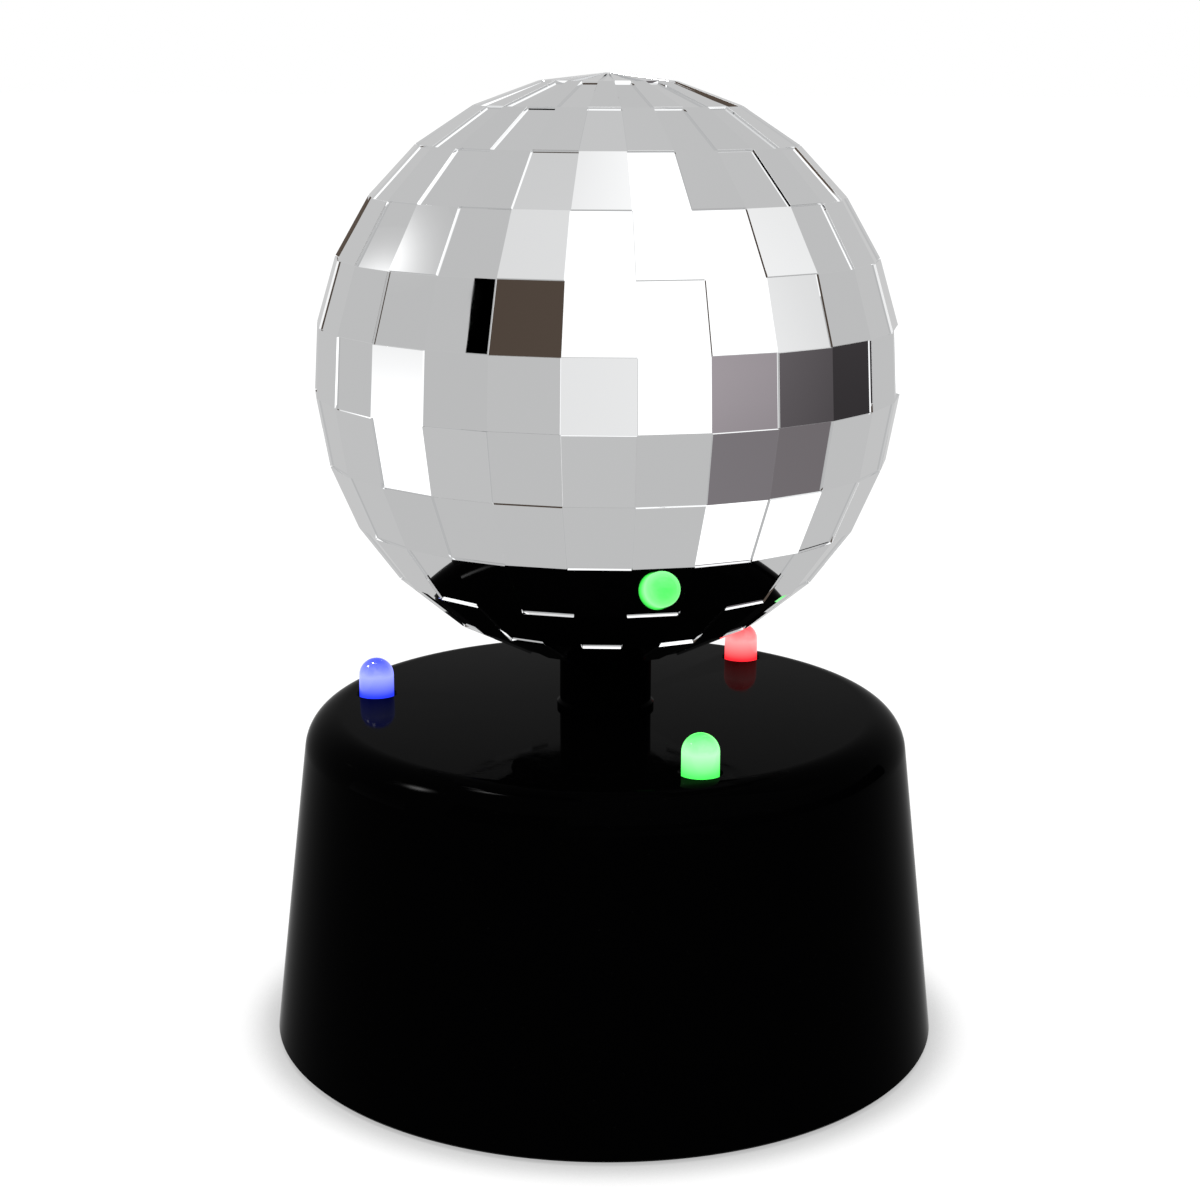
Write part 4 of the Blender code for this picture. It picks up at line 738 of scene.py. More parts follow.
def make_housing():
    slope = math.hypot(TOP_Z - RIM_LIFT, RIM_RADIUS - TOP_RADIUS)
    out, up = (TOP_Z - RIM_LIFT) / slope, (RIM_RADIUS - TOP_RADIUS) / slope
    shoulder_z = TOP_Z - SHOULDER
    shoulder_x = RIM_RADIUS - (SHOULDER + (shoulder_z - RIM_LIFT) * up) / out
    bend = ((shoulder_x, shoulder_z), math.atan2(up, out))
    edge, hole = 0.35 * MM, SPIGOT_RADIUS + GAP
    outside = [(RIM_RADIUS - edge, RIM_LIFT), (RIM_RADIUS - edge * up, RIM_LIFT + edge)]
    outside += arc(bend[0], SHOULDER, bend[1], math.pi / 2, 20) + [(hole, TOP_Z)]
    inside = [(RIM_RADIUS - WALL / out, RIM_LIFT)]
    inside += arc(bend[0], SHOULDER - WALL, bend[1], math.pi / 2, 10) + [(hole, ROOF_Z)]
    sunk = ROOF_Z + WALL / 2
    # Screws of the bosses, what is below them, their tops and how deep their holes are
    bosses, pilots = [], []
    for stem, count, below, high, depth in (
        ("base_screw", 4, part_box("base_plate")[0].z + 2.4 * MM, shoulder_z + RIM_LIFT, 9.0 * MM),
        ("led_board_screw", 3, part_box("led_board")[1].z, sunk, 4.5 * MM),
        ("gearbox_screw", 3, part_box("gearbox_upper_plate")[1].z, sunk, 3.5 * MM),
    ):
        places, low = axes(stem, count), below + GAP
        bosses.append(pins(places, BOSS, low, high))
        pilots.append(pins(places, PILOT, low - MM, low + depth, 16))
    rim, bevel = 2.65 * MM, 0.3 * MM
    led_hole = [
        (0, ROOF_Z - MM), (rim, ROOF_Z - MM), (rim, TOP_Z - bevel), (rim + bevel + MM, TOP_Z + MM),
        (0, TOP_Z + MM),
    ]
    spots = [from_front(LED_CIRCLE, azimuth, 0)[:2] for azimuth in LED_AZIMUTHS.values()]
    led_holes = together(*(spun(led_hole, 48, at) for at in spots))
    switch, knob = node_middle("switch_body").z, node_middle("switch_knob").z
    inner, outer, near = 6.3 * MM, 7.7 * MM, max(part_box("switch_body")[0].y, 36 * MM)
    floor, ceiling, roof = switch - 3.0 * MM, switch + 3.3 * MM, switch + 3.3 * MM + 1.4 * MM

    def pocket(form):
        far = RIM_RADIUS - 3.2 * MM
        box_into(form, (-outer, near, floor), (-inner, far, roof))
        box_into(form, (inner, near, floor), (outer, far, roof))

    def shelf(form):
        box_into(form, (-outer, near, ceiling), (outer, RIM_RADIUS - 3.4 * MM, roof))

    def window(form):
        wide, half = 4.3 * MM, 1.8 * MM
        box_into(form, (-wide, 38 * MM, knob - half), (wide, RIM_RADIUS + MM, knob + half))

    joins, cuts = [together(*bosses), pocket, shelf], [together(*pilots), led_holes, window]
    name, ring = "housing_shell", spun(outside + inside[::-1], 192)
    carved(name, ring, joins, cuts, "gloss_black", "base_housing", smooth=28, slot=BLACK_SLOT)


def make_stem():
    foot, edge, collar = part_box("neck_tube")[0].z, 0.25 * MM, TOP_Z + COLLAR_HEIGHT
    profile = [
        (STEM_BORE, foot), (SPIGOT_RADIUS, foot), (SPIGOT_RADIUS, TOP_Z), (COLLAR_RADIUS, TOP_Z),
        (COLLAR_RADIUS, collar), (COLLAR_RADIUS - edge, collar + edge),
        (STEM_RADIUS, TOP_Z + 1.1 * MM), (STEM_RADIUS, STEM_TOP_Z - edge),
        (STEM_RADIUS - edge, STEM_TOP_Z), (STEM_BORE, STEM_TOP_Z),
    ]
    built("stem", spun(profile, 96), "gloss_black", "neck_tube", smooth=40, slot=BLACK_SLOT)


# LEDs


def make_led(colour):
    solid = f"led_{colour}"
    middle, top = node_middle(solid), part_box(solid)[1].z
    low, flange, edge = ROOF_Z - 1.3 * MM, 2.95 * MM, 0.1 * MM
    flange_top = low + 1.05 * MM
    board_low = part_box("led_board")[1].z - BOARD_THICK

    def lens(form):
        profile = [(0, low), (flange - edge, low), (flange, low + edge)]
        profile += [(flange, flange_top - edge), (flange - edge, flange_top)]
        profile += [(LED_RADIUS, flange_top)]
        profile += arc((0, top - LED_RADIUS), LED_RADIUS, 0, math.pi / 2, 14)[:-1] + [(0, top)]
        lathe(form, profile, 48, middle[:2])
        layer = form.verts.layers.float.new("crown")
        for vert in form.verts:
            vert[layer] = max(0, (vert.co.z - low) / (top - low))

    def legs(form):
        half, bottom = 0.25 * MM, board_low - 0.9 * MM
        solder = ((0, -0.8), (0.3, -0.7), (0.75, 0))
        joint = [(radius * MM, board_low + z * MM) for radius, z in solder]
        for x in (middle.x - LEG_REACH, middle.x + LEG_REACH):
            box_into(form, (x - half, middle.y - half, bottom), (x + half, middle.y + half, low))
            lathe(form, joint, 16, (x, middle.y))

    built(f"led_lens_{colour}", lens, f"lens_{colour}", solid, smooth=50)
    built(f"led_legs_{colour}", legs, "contact_nickel", smooth=40)


# Screws


def make_screw(solid, body, sizes, flipped):
    """A pan-head screw with a cross recess and a rolled thread.

    Its sizes are the radii of shank and head, and the height of the head.
    """
    shank, head, height = sizes
    low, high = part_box(solid)
    middle = (low + high) / 2
    length = high.z - low.z
    pitch, ridge = 0.7 * shank, 0.2 * shank
    edge = rounded([(0, 0), (head, 0), (head, 0.85 * height)], 0.6 * height, 5)

    def bar(quarter):
        rings = []
        for z, reach, half in ((-MM, 0.75, 0.19), (0.65 * height, 0.34, 0.1)):
            corners = oblong(-reach * head, reach * head, -half * head, half * head)
            rings.append([(*corner, z) for corner in turned_by(corners, quarter)])
        return lambda form: loft(form, rings)

    def thread(form):
        sides, layers = 20, 5
        count = int((length - height) / pitch * layers)
        rings = []
        for index in range(count + 1):
            z = 0.9 * height + (length - 0.9 * height) * index / count
            taper = min(1, 0.35 + (length - z) / (1.4 * shank))
            ring = []
            for side in range(sides):
                crest = max(0, 1 - abs((z / pitch - side / sides) % 1 - 0.5) * 3.4)
                radius = (shank - ridge + ridge * crest) * taper
                ring.append((*polar(radius, TURN * side / sides), z))
            rings.append(ring)
        loft(form, rings)

    head_form = spun(edge + [(0.97 * head, height), (0, height)], 40)
    cuts = [bar(0), bar(math.pi / 2)]
    made = carved(f"{solid}_turned", head_form, [], cuts, "steel", solid, thread, 35, body=body)
    place = (middle.x, middle.y, high.z if flipped else low.z)
    made.data.transform(way_to(place, math.pi * flipped, "X"))


def make_screws():
    large, small = (1.0 * MM, 2.0 * MM, 1.2 * MM), (0.8 * MM, 1.5 * MM, 0.9 * MM)
    for stem, count, body, sizes, flipped in (
        ("base_screw", 4, "base", large, False),
        ("led_board_screw", 3, "base", large, False),
        ("gearbox_screw", 3, "base", large, False),
        ("motor_screw", 2, "base", small, True),
        ("hub_screw", 2, "ball", large, True),
    ):
        for name in numbered(stem, count):
            make_screw(name, body, sizes, flipped)
    make_screw("battery_door_screw", "base", (1.0 * MM, 2.0 * MM, 0.8 * MM), False)


# Gear train and motor


def tooth_phase(solid, at, teeth, above):
    """Direction of a tooth of a gear among the solids, looked for above a level."""
    tip = MODULE * (teeth / 2 + 1)
    total = 0
    for vert in NODES[solid].data.vertices:
        x, y = vert.co.x - at[0], vert.co.y - at[1]
        if abs(math.hypot(x, y) - tip) < 0.05 * MM and vert.co.z > above:
            total += cmath.exp(1j * teeth * math.atan2(y, x))
    return cmath.phase(total) / teeth


def toothed(form, teeth, inner, low, high, at, phase):
    """A toothed ring with eased tips and broken edges."""
    root, tip = MODULE * (teeth / 2 - 1.2), MODULE * (teeth / 2 + 1)
    edge = 0.08 * MM
    half = [(root, 0.56), ((root + tip) / 2, 0.375), (tip - edge, 0.215), (tip, 0.14)]
    flank = [(radius, -share) for radius, share in half] + half[::-1] + [(root - edge / 2, 1)]
    levels = [(low, edge), (low + edge, 0), (high - edge, 0), (high, edge)]
    rings = []
    for z, ease in levels + [(high, None), (low, None)]:
        ring = []
        for tooth in range(teeth):
            for radius, share in flank:
                angle = phase + TURN / teeth * (tooth + share / 2)
                reach = inner if ease is None else radius - ease
                ring.append((*polar(reach, angle, at), z))
        rings.append(ring)
    loft(form, rings, False)


def make_wheel(solid, body, axle, bore, pinion_above):
    """A wheel with a thin web and round holes, and a pinion on top when it has one."""
    low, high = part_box(solid)
    at = node_middle(axle)[:2]
    top, middle = low.z + FACE_WIDTH, low.z + FACE_WIDTH / 2
    rim = MODULE * (WHEEL_TEETH / 2 - 1.2) - 1.0 * MM
    hub, half_web, overlap, spokes = 3.2 * MM, 0.45 * MM, 0.1 * MM, 6
    profile = [
        (bore, low.z), (hub, low.z), (hub, middle - half_web), (rim + overlap, middle - half_web),
        (rim + overlap, middle + half_web), (hub, middle + half_web), (hub, top), (bore, top),
    ]
    places = [polar((hub + rim) / 2, TURN * number / spokes, at) for number in range(spokes)]

    def teeth(form):
        phase = tooth_phase(solid, at, WHEEL_TEETH, 0)
        toothed(form, WHEEL_TEETH, rim, low.z, top, at, phase)
        if pinion_above:
            phase = tooth_phase(solid, at, PINION_TEETH, top + overlap)
            toothed(form, PINION_TEETH, bore, middle, high.z, at, phase)

    web = spun(rounded(profile, 0.12 * MM, 2, True), 72, at)
    holes = [pins(places, 1.3 * MM, low.z - MM, top + MM)]
    carved(f"{solid}_moulded", web, [], holes, "gear_acetal", solid, teeth, body=body)


def make_gears():
    make_wheel("output_gear", "ball", "drive_shaft", SHAFT_BORE, False)
    make_wheel("idler_gear_2", "idler_2", "idler_arbor_2", ARBOR_BORE, True)
    make_wheel("idler_gear_1", "idler_1", "idler_arbor_1", ARBOR_BORE, True)
    name, at = "motor_pinion", node_middle("motor_can")[:2]
    low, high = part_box(name)
    phase = tooth_phase(name, at, PINION_TEETH, 0)

    def pinion(form):
        toothed(form, PINION_TEETH, ARBOR_BORE, low.z, high.z, at, phase)

    built(f"{name}_moulded", pinion, "gear_acetal", name, smooth=32, body="rotor")


def make_plates():
    """The two gearbox plates with their pillars, thrust cup and holes."""
    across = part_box("gearbox_lower_plate")[1].x
    pillars, arbors = axes("gearbox_screw", 3), axes("idler_arbor", 2)
    centre, motor = [(0, 0)], [node_middle("motor_can")[:2]]
    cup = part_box("idler_gear_2")[0].z - GAP
    for name in ("gearbox_lower_plate", "gearbox_upper_plate"):
        low, high = (corner.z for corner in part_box(name))
        face, root = low + PLATE_THICK, low + PLATE_THICK / 2
        below, above = low - MM, high + MM
        holes = [pins(pillars, PILOT, below, above), pins(arbors, ARBOR_BORE, below, above)]
        if name == "gearbox_lower_plate":
            joins = [
                pins(arbors, 1.8 * MM, root, face + 0.12 * MM, 32),
                pins(pillars, BOSS, root, high, 32), pins(centre, 3.0 * MM, root, cup, 40),
            ]
            holes += [
                pins(axes("motor_screw", 2), ARBOR_BORE, below, above),
                pins(motor, PILOT, below, above), pins(centre, SHAFT_BORE, face, above),
            ]
        else:
            joins = []
            holes.append(pins(centre, SHAFT_BORE, below, above))
        disc, cuts = spun(rounded(oblong(0, across, low, face), 0.3 * MM), 96), [together(*holes)]
        shape = f"{name}_moulded", disc, joins, cuts
        carved(*shape, "gearbox_slate", name, slot="gearbox_plastic")


def make_can():
    """The drawn can of the motor, with holes for its screws and two notches at its mouth."""
    at, radius, low, high = upright("motor_can")
    wall, hole = 0.8 * MM, 1.1 * MM
    ceiling = high - wall
    outer = rounded([(radius, low), (radius, high), (hole, high)], 1.2 * MM, 6)
    profile = [(radius - wall, low)] + outer + [(hole, ceiling), (radius - wall, ceiling)]

    def notches(form):
        for angle in (math.radians(215), math.radians(245)):
            outline = oblong(radius - 3 * MM, radius + MM, -1.1 * MM, 1.1 * MM)
            prism(form, turned_by(outline, angle), low - MM, low + wall, at)

    cuts = [pins(axes("motor_screw", 2), hole, ceiling - MM, high + MM), notches]
    carved("motor_can_drawn", spun(profile, 96, at), [], cuts, "steel", "motor_can", smooth=35)


def make_motor():
    """Drawn can, magnet ring, laminated core, wound coils and shaft."""
    make_can()
    at = node_middle("motor_can")[:2]
    _, outside, bottom, top = upright("motor_magnet")
    ring = rounded(oblong(outside - 2.1 * MM, outside, bottom, top), 0.4 * MM, 3, True)
    built("motor_magnet_ring", spun(ring, 96, at), "magnet_ferrite", "motor_magnet")

    _, core, low, high = upright("motor_armature")
    bottom, top = bottom + 0.7 * MM, top - 0.7 * MM
    poles = 5

    def laminations(form):
        neck, root, under, layers = 1.2 * MM, 2.8 * MM, core - 1.3 * MM, 12
        x, y = polar(under, math.radians(29))
        line = [(root, -neck), (under, -neck), (x, -y)]
        line += [polar(core, math.radians(-30 + 60 * step / 8)) for step in range(9)]
        line += [(x, y), (under, neck), (root, neck)]
        outline = []
        for pole in range(poles):
            outline += turned_by(line, TURN * pole / poles)
        first, last = bottom + 0.6 * MM, top - 0.6 * MM
        rings = []
        for layer in range(layers):
            for share, scale in ((0.05, 0.992), (0.2, 1), (0.8, 1), (0.95, 0.992)):
                z = first + (last - first) * (layer + share) / layers
                rings.append([(at[0] + x * scale, at[1] + y * scale, z) for x, y in outline])
        loft(form, rings)

    def coils(form):
        rows, tall = 17, (top - bottom) / 2
        for pole in range(poles):
            rings = []
            for row in range(rows):
                share = row / (rows - 1)
                reach = 3.1 * MM + 3.6 * MM * share
                wide = 1.75 * MM + 1.45 * MM * share
                pull = 0 if row % 2 else 0.14 * MM
                ring = []
                for v, z in rounded(oblong(-wide, wide, -tall, tall), 1.1 * MM, 4, True):
                    size = math.hypot(v, z)
                    v, z = v - pull * v / size, z - pull * z / size
                    x, y = turned_by([(reach, v)], TURN * pole / poles)[0]
                    ring.append((at[0] + x, at[1] + y, (top + bottom) / 2 + z))
                rings.append(ring)
            loft(form, rings)

    rotor = together(laminations, spun(rounded(oblong(0, MM, low, high), 0.15 * MM), 40, at))
    built("motor_core_and_shaft", rotor, "ground_steel", smooth=30, body="rotor", slot="steel")
    built("motor_coils", coils, "armature_copper", "motor_armature", smooth=50, body="rotor")


# Hub, shafts and bush


def make_hub():
    low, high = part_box("ball_hub")
    bore, boss, reach, flange = SHAFT_BORE, 3.8 * MM, high.x, 1.6 * MM
    flange_z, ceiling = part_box("hub_screw_1")[1].z - 3.1 * MM, high.z - 1.2 * MM
    flange_top = flange_z + flange
    line = [
        (bore, low.z), (boss, low.z), (boss, flange_z), (reach, flange_z), (reach, flange_top),
        (boss, flange_top), (boss, high.z), (0, high.z),
    ]

    def gussets(form):
        count, thick, foot, lift = 6, 0.5 * MM, flange_top - 0.2 * MM, flange_top + 4.5 * MM
        inner = boss - 0.4 * MM
        along = [(inner, foot), (reach - 1.2 * MM, foot), (boss + 0.2 * MM, lift), (inner, lift)]
        for number in range(count):
            angle = TURN * (number + 0.5) / count
            rings = [
                [(*turned_by([(radius, side)], angle)[0], z) for radius, z in along]
                for side in (-thick, thick)
            ]
            loft(form, rings)

    body = spun([(0, ceiling), (bore, ceiling)] + rounded(line, 0.35 * MM))
    holes = pins(axes("hub_screw", 2), PILOT, flange_z - MM, flange_top + MM)
    shape = "hub_moulded", body, [], [holes]
    carved(*shape, "satin_black", "ball_hub", gussets, body="ball", slot="hub_plastic")


def make_shafts():
    """The shaft of the ball, with its two grooves, the arbors and the bush."""
    for name in ("drive_shaft", *numbered("idler_arbor", 2)):
        body = "ball" if name == "drive_shaft" else "base"
        at, radius, low, high = upright(name)
        line = [(0, low), (radius, low)]
        if body == "ball":
            inner = radius - 0.2 * MM
            for level in (low + 8.6 * MM, high - 9.5 * MM):
                line += [(radius, level), (inner, level + 0.1 * MM)]
                line += [(inner, level + 0.5 * MM), (radius, level + 0.6 * MM)]
        line += [(radius, high), (0, high)]
        shaft = spun(rounded(line, 0.12 * MM, 3), at=at)
        built(f"{name}_ground", shaft, "ground_steel", name, body=body, slot="steel")
    low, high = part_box("neck_bush")
    ring = rounded(oblong(SHAFT_BORE, high.x, low.z, high.z), GAP, 3, True)
    built("neck_bush_sintered", spun(ring), "bush_bronze", "neck_bush")


# Cells, contacts, wires and board

# Radii and heights of a cell in mm: its flat end, and its other end from the body's end
CELL_END = [(0, 0.25), (4.8, 0.25), (5.2, 0.0), (6.2, 0.0), (6.85, 0.3), (7.0, 0.45), (7.2, 0.5)]
CELL_BODY = [(7.25, 0.6), (7.25, 35.0), (7.25, 35.1)]
CELL_TOP = [(7.25, -0.35), (7.1, -0.15), (6.6, -0.1), (6.4, -0.25)]
CELL_TOP += [(3.4, -0.2), (3.2, 0), (2.75, 0.15)]
BAND_START = 35 * MM


def make_cell(number, side):
    """A cell with its jacket, coloured band, steel ends and nub."""
    name = f"battery_{number}"
    low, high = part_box(name)
    middle, nub = (low + high) / 2, high.x - low.x
    body_end = nub - 1.3 * MM
    line = [(radius * MM, z * MM) for radius, z in CELL_END + CELL_BODY]
    line += [(radius * MM, body_end + z * MM) for radius, z in CELL_TOP]
    line += [(2.75 * MM, nub - 0.3 * MM), (2.45 * MM, nub), (0, nub)]

    def build(form):
        lathe(form, line, 64)
        for face in form.faces:
            centre = face.calc_center_median()
            jacket = centre.xy.length > 6.98 * MM and 0.4 * MM < centre.z < body_end
            face.material_index = 2 if not jacket else 1 if centre.z > BAND_START else 0
        place = (low.x if side > 0 else high.x, middle.y, middle.z)
        way = way_to(place, side * math.pi / 2, "Y")
        bmesh.ops.transform(form, matrix=way, verts=form.verts)

    built(f"cell_{number}", build, "cell_jacket cell_band contact_nickel", name, smooth=30)


def make_contact(name, side, buttons, springs, tab_row=None):
    """A plated strip with rounded edges, pressed buttons, coil springs of round wire and a tab."""
    low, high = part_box(name)
    thick, half, level = 0.4 * MM, 4.5 * MM, (low.z + high.z) / 2
    tab, tab_half = 4.0 * MM if tab_row is not None else 0, 1.2 * MM
    outer = (high.x if side > 0 else low.x) - side * tab
    inner = outer - side * thick
    rows = springs + buttons
    strip = oblong(min(rows) - half, max(rows) + half, low.z, high.z)
    strip = rounded(strip, 0.8 * MM, 5, True)
    press, wire, turns, count = 0.2 * MM, 0.4 * MM, 3, 90
    button = rounded([(0, press), (1.6 * MM, press), (2.4 * MM, -press / 2)], 0.4 * MM)
    button += [(0, -press / 2)]

    def build(form):
        loft(form, [[(x, y, z) for y, z in strip] for x in sorted((inner, outer))])
        if tab:
            end, near = outer + side * tab, outer - side * thick / 2
            left, right = tab_row - tab_half, tab_row + tab_half
            outline = [(near, left), (end, left), (end, right), (near, right)]
            prism(form, outline, level - thick / 2, level + thick / 2)
        for row in buttons:
            before = set(form.verts)
            lathe(form, button, 32)
            new = [vert for vert in form.verts if vert not in before]
            way = way_to((inner, row, level), -side * math.pi / 2, "Y")
            bmesh.ops.transform(form, matrix=way, verts=new)
        for row in springs:
            points = []
            for index in range(count + 1):
                share = index / count
                coil = 4.2 * MM - 1.6 * MM * share
                x = inner - side * (wire / 2 + 4.3 * MM * min(1, 1.06 * share))
                points.append(Vector((x, *polar(coil, turns * TURN * share, (row, level)))))
            tube(form, points, wire)

    built(f"{name}_strip", build, "contact_nickel", name, smooth=45, rounding=0.08 * MM)


def make_contacts():
    first, second, third = (at[1] for at in axes("battery", 3))
    make_contact("contact_positive", 1, [first], [], first)
    make_contact("contact_link_left", -1, [second], [first])
    make_contact("contact_link_right", 1, [third], [second])
    make_contact("contact_negative", -1, [], [third], third)


# Radius and stops of the wires, and half the outline of a soldered joint, in mm
LEAD_RADIUS = 0.6
LEAD_STOPS = {
    "battery_lead_red": [
        (31.8, -14.9, 10.85), (31.8, -14.9, 14.85), (34.4, -14.9, 24.6), (27.371, -14.554, 33.7),
        (27.371, -14.554, 37.7),
    ],
    "battery_lead_black": [
        (-31.8, 14.9, 10.85), (-31.8, 14.9, 14.85), (-31.3, 16.7, 20.9), (-14.5, 22.45, 20.9),
        (-5.0, 26.55, 20.9), (-2.5, 30.819, 16.4), (-2.5, 34.819, 12.4),
    ],
    "switch_lead": [
        (2.5, 34.819, 12.4), (2.5, 30.819, 16.4), (5.0, 30.819, 24.6), (5.0, 31.0, 33.7),
        (5.0, 31.0, 37.7),
    ],
    "motor_lead_red": [
        (-22.526, -10.467, 20.2), (-22.526, -10.467, 24.2), (-28.114, -13.064, 33.7),
        (-28.114, -13.064, 37.7),
    ],
    "motor_lead_black": [
        (-17.093, -15.025, 20.2), (-17.093, -15.025, 24.2), (-23.283, -20.467, 33.7),
        (-23.283, -20.467, 37.7),
    ],
}
SOLDER = [(0, 0), (0.85, 0), (0.72, 0.22), (0.5, 0.5), (0.36, 0.85), (0, 0.95)]


def through(stops, count):
    """Points along a smooth curve that passes through every stop."""
    padded = [2 * stops[0] - stops[1]] + stops + [2 * stops[-1] - stops[-2]]
    points = []
    for a, b, c, d in zip(padded, padded[1:], padded[2:], padded[3:]):
        bend = 2 * a - 5 * b + 4 * c - d
        twist = 3 * b - a - 3 * c + d
        for t in (step / count for step in range(count)):
            points.append((2 * b + (c - a) * t + bend * t**2 + twist * t**3) / 2)
    return points + [stops[-1]]


def make_leads():
    """Insulated wires with a stripped, soldered end on each side."""
    ends = []
    for name, stops in LEAD_STOPS.items():
        points = through([Vector(stop) * MM for stop in stops], 12)
        finish = "wire_red" if name.endswith("red") else "wire_black"
        ends += [(points[0], points[:5]), (points[-1], points[-5:])]

        def sleeve(form):
            tube(form, points[3:-3], LEAD_RADIUS * MM, 16)

        built(f"{name}_sleeve", sleeve, finish, name, smooth=50, rounding=0.12 * MM)

    def joints(form):
        for at, strand in ends:
            tube(form, strand, 0.32 * MM, 10)
            way = 1 if at.z < 30 * MM else -1
            at_switch = 12 * MM < at.z < 13 * MM
            low = at.z - (0.35 * MM if at_switch else way * 0.3 * MM)
            lathe(form, [(r * MM, low + way * z * MM) for r, z in SOLDER], 24, at[:2])

    built("soldered_ends", joints, "contact_nickel", smooth=50)


def make_board():
    """Ring board with its tracks, pads and three small resistors underneath."""
    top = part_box("led_board")[1].z
    low = top - BOARD_THICK
    leds = [node_middle(f"led_{colour}") for colour in LED_AZIMUTHS]
    legs = [(led.x + side * LEG_REACH, led.y) for led in leds for side in (-1, 1)]
    ring = rounded(oblong(26 * MM, 36 * MM, low, top), 0.1 * MM, 2, True)
    screw_holes = pins(axes("led_board_screw", 3), PILOT, low - MM, top + MM)
    holes = together(screw_holes, pins(legs, 0.4 * MM, low - MM, top + MM, 16))
    carved("board_ring", spun(ring, 144), [], [holes], "board_laminate", "led_board")
    skin, half, hole, pad = 0.04 * MM, 0.2 * MM, 0.4 * MM, 0.9 * MM

    def tracks(form):
        for face, away in ((low, low - skin), (top, top + skin)):
            for radius in (27.4 * MM, 28.4 * MM, 35.0 * MM):
                lathe(form, oblong(radius - half, radius + half, face, away), 144)
            for at in legs:
                band = [(hole, face), (pad, face), (pad - 0.05 * MM, away), (hole, away)]
                lathe(form, band, 24, at)

    built("board_tracks", tracks, "contact_nickel", smooth=30)

    def blocks(*rows):
        """Boxes under the board at each resistor, from rows of (left, right, width, depth)."""

        def build(form):
            for azimuth in LED_AZIMUTHS.values():
                x, y, _ = from_front(29.8 * MM, azimuth, 0)
                for left, right, half, deep in rows:
                    box_into(form, (x + left, y - half, low - deep), (x + right, y + half, low))

        return build

    near, far = 1.1 * MM, 1.6 * MM
    size = (0.8 * MM, 0.58 * MM)
    bodies = blocks((-1.15 * MM, 1.15 * MM, 0.76 * MM, 0.54 * MM))
    ends = blocks((-far, -near, *size), (near, far, *size))
    looks = {"smooth": 30, "rounding": 0.06 * MM}
    built("resistor_bodies", bodies, "resistor_ceramic", slot="hub_plastic", **looks)
    built("resistor_ends", ends, "contact_nickel", **looks)


# Feet, door and switch


def make_feet():
    dish = 0.15 * MM
    for name in numbered("foot", 4):
        at, radius, _, top = upright(name)
        line = [(0, dish), (2.3 * MM, dish), (2.5 * MM, 0), (3.5 * MM, 0)]
        line += [(radius, 0.35 * MM), (radius, top), (0, top)]
        foot = spun(rounded(line, 0.2 * MM, 3), 64, at)
        built(f"{name}_moulded", foot, "foot_rubber", name)


def make_door():
    """The battery door with two hooks, a counterbored ear, grip ribs and an arrow."""
    low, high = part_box("battery_door")
    ear, half_ear = high.x, 3.7 * MM
    left, right, wide = low.x + 2.3 * MM, high.x - 5.2 * MM, high.y
    outline = [(left, -wide), (right, -wide), (right, -half_ear), (ear, -half_ear)]
    outline += [(ear, half_ear), (right, half_ear), (right, wide), (left, wide)]
    outline = rounded(outline, 0.8 * MM, 4, True)
    head, seat = 2.3 * MM, low.z + 0.8 * MM
    hole = [(0, low.z - MM), (head, low.z - MM), (head, seat), (PILOT, seat)]
    hole += [(PILOT, high.z + MM), (0, high.z + MM)]
    root = low.z + 0.1 * MM

    def hooks(form):
        level, half_wide, half_thick = (low.z + high.z) / 2, 4 * MM, 0.35 * MM
        for y in (-12 * MM, 12 * MM):
            corner = (low.x, y - half_wide, level - half_thick)
            box_into(form, corner, (left + 0.8 * MM, y + half_wide, level + half_thick))

    def grips(form):
        half, reach = 0.4 * MM, 9 * MM
        for number in range(7):
            x = right - 3 * MM - number * 1.6 * MM
            bar = rounded(oblong(x - half, x + half, -reach, reach), half, 4, True)
            prism(form, bar, low.z - 0.25 * MM, root)
        tip, barb, half = right - 21 * MM, right - 16 * MM, 3 * MM
        arrow = [(barb, half), (barb, -half), (tip, 0)]
        prism(form, rounded(arrow, 0.3 * MM, 3, True), low.z - 0.2 * MM, root)

    def plate(form):
        prism(form, outline, low.z, high.z)

    cut = spun(hole, 40, node_middle("battery_door_screw")[:2])
    shape = "door_moulded", plate, [hooks], [cut]
    carved(*shape, "satin_cover", "battery_door", grips, rounding=0.08 * MM, slot=BLACK_SLOT)


def make_knob():
    """The switch knob with upright ridges across its face."""
    low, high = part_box("switch_knob")
    facets = 10
    outline = [(low.x, low.y), (high.x, low.y)]
    for step in range(facets + 1):
        depth = 0 if step % 2 else 0.4 * MM
        outline.append((low.x + (high.x - low.x) * (1 - step / facets), high.y - depth))

    def knob(form):
        prism(form, outline, low.z, high.z)

    place = {"body": "switch", "slot": "hub_plastic"}
    built("knob_ridged", knob, "satin_black", "switch_knob", smooth=20, rounding=0.1 * MM, **place)


# Solids that keep their own shape, with their finishes
KEPT_SOLIDS = {
    "base_plate": "satin_cover",
    "switch_body": "satin_black",
    "motor_end_cap": "gearbox_slate",
}


def finish_solids():
    """Finishes, smooth shading and broken edges for the solids that are kept."""
    for name, finish in KEPT_SOLIDS.items():
        solid = NODES[name]
        for slot in solid.material_slots:
            slot.material = FINISHES[finish]
        if not solid.material_slots:
            solid.data.materials.append(FINISHES[finish])
        smoothed(solid.data, 32)
        soften(solid, 0.12 * MM)


# Studio


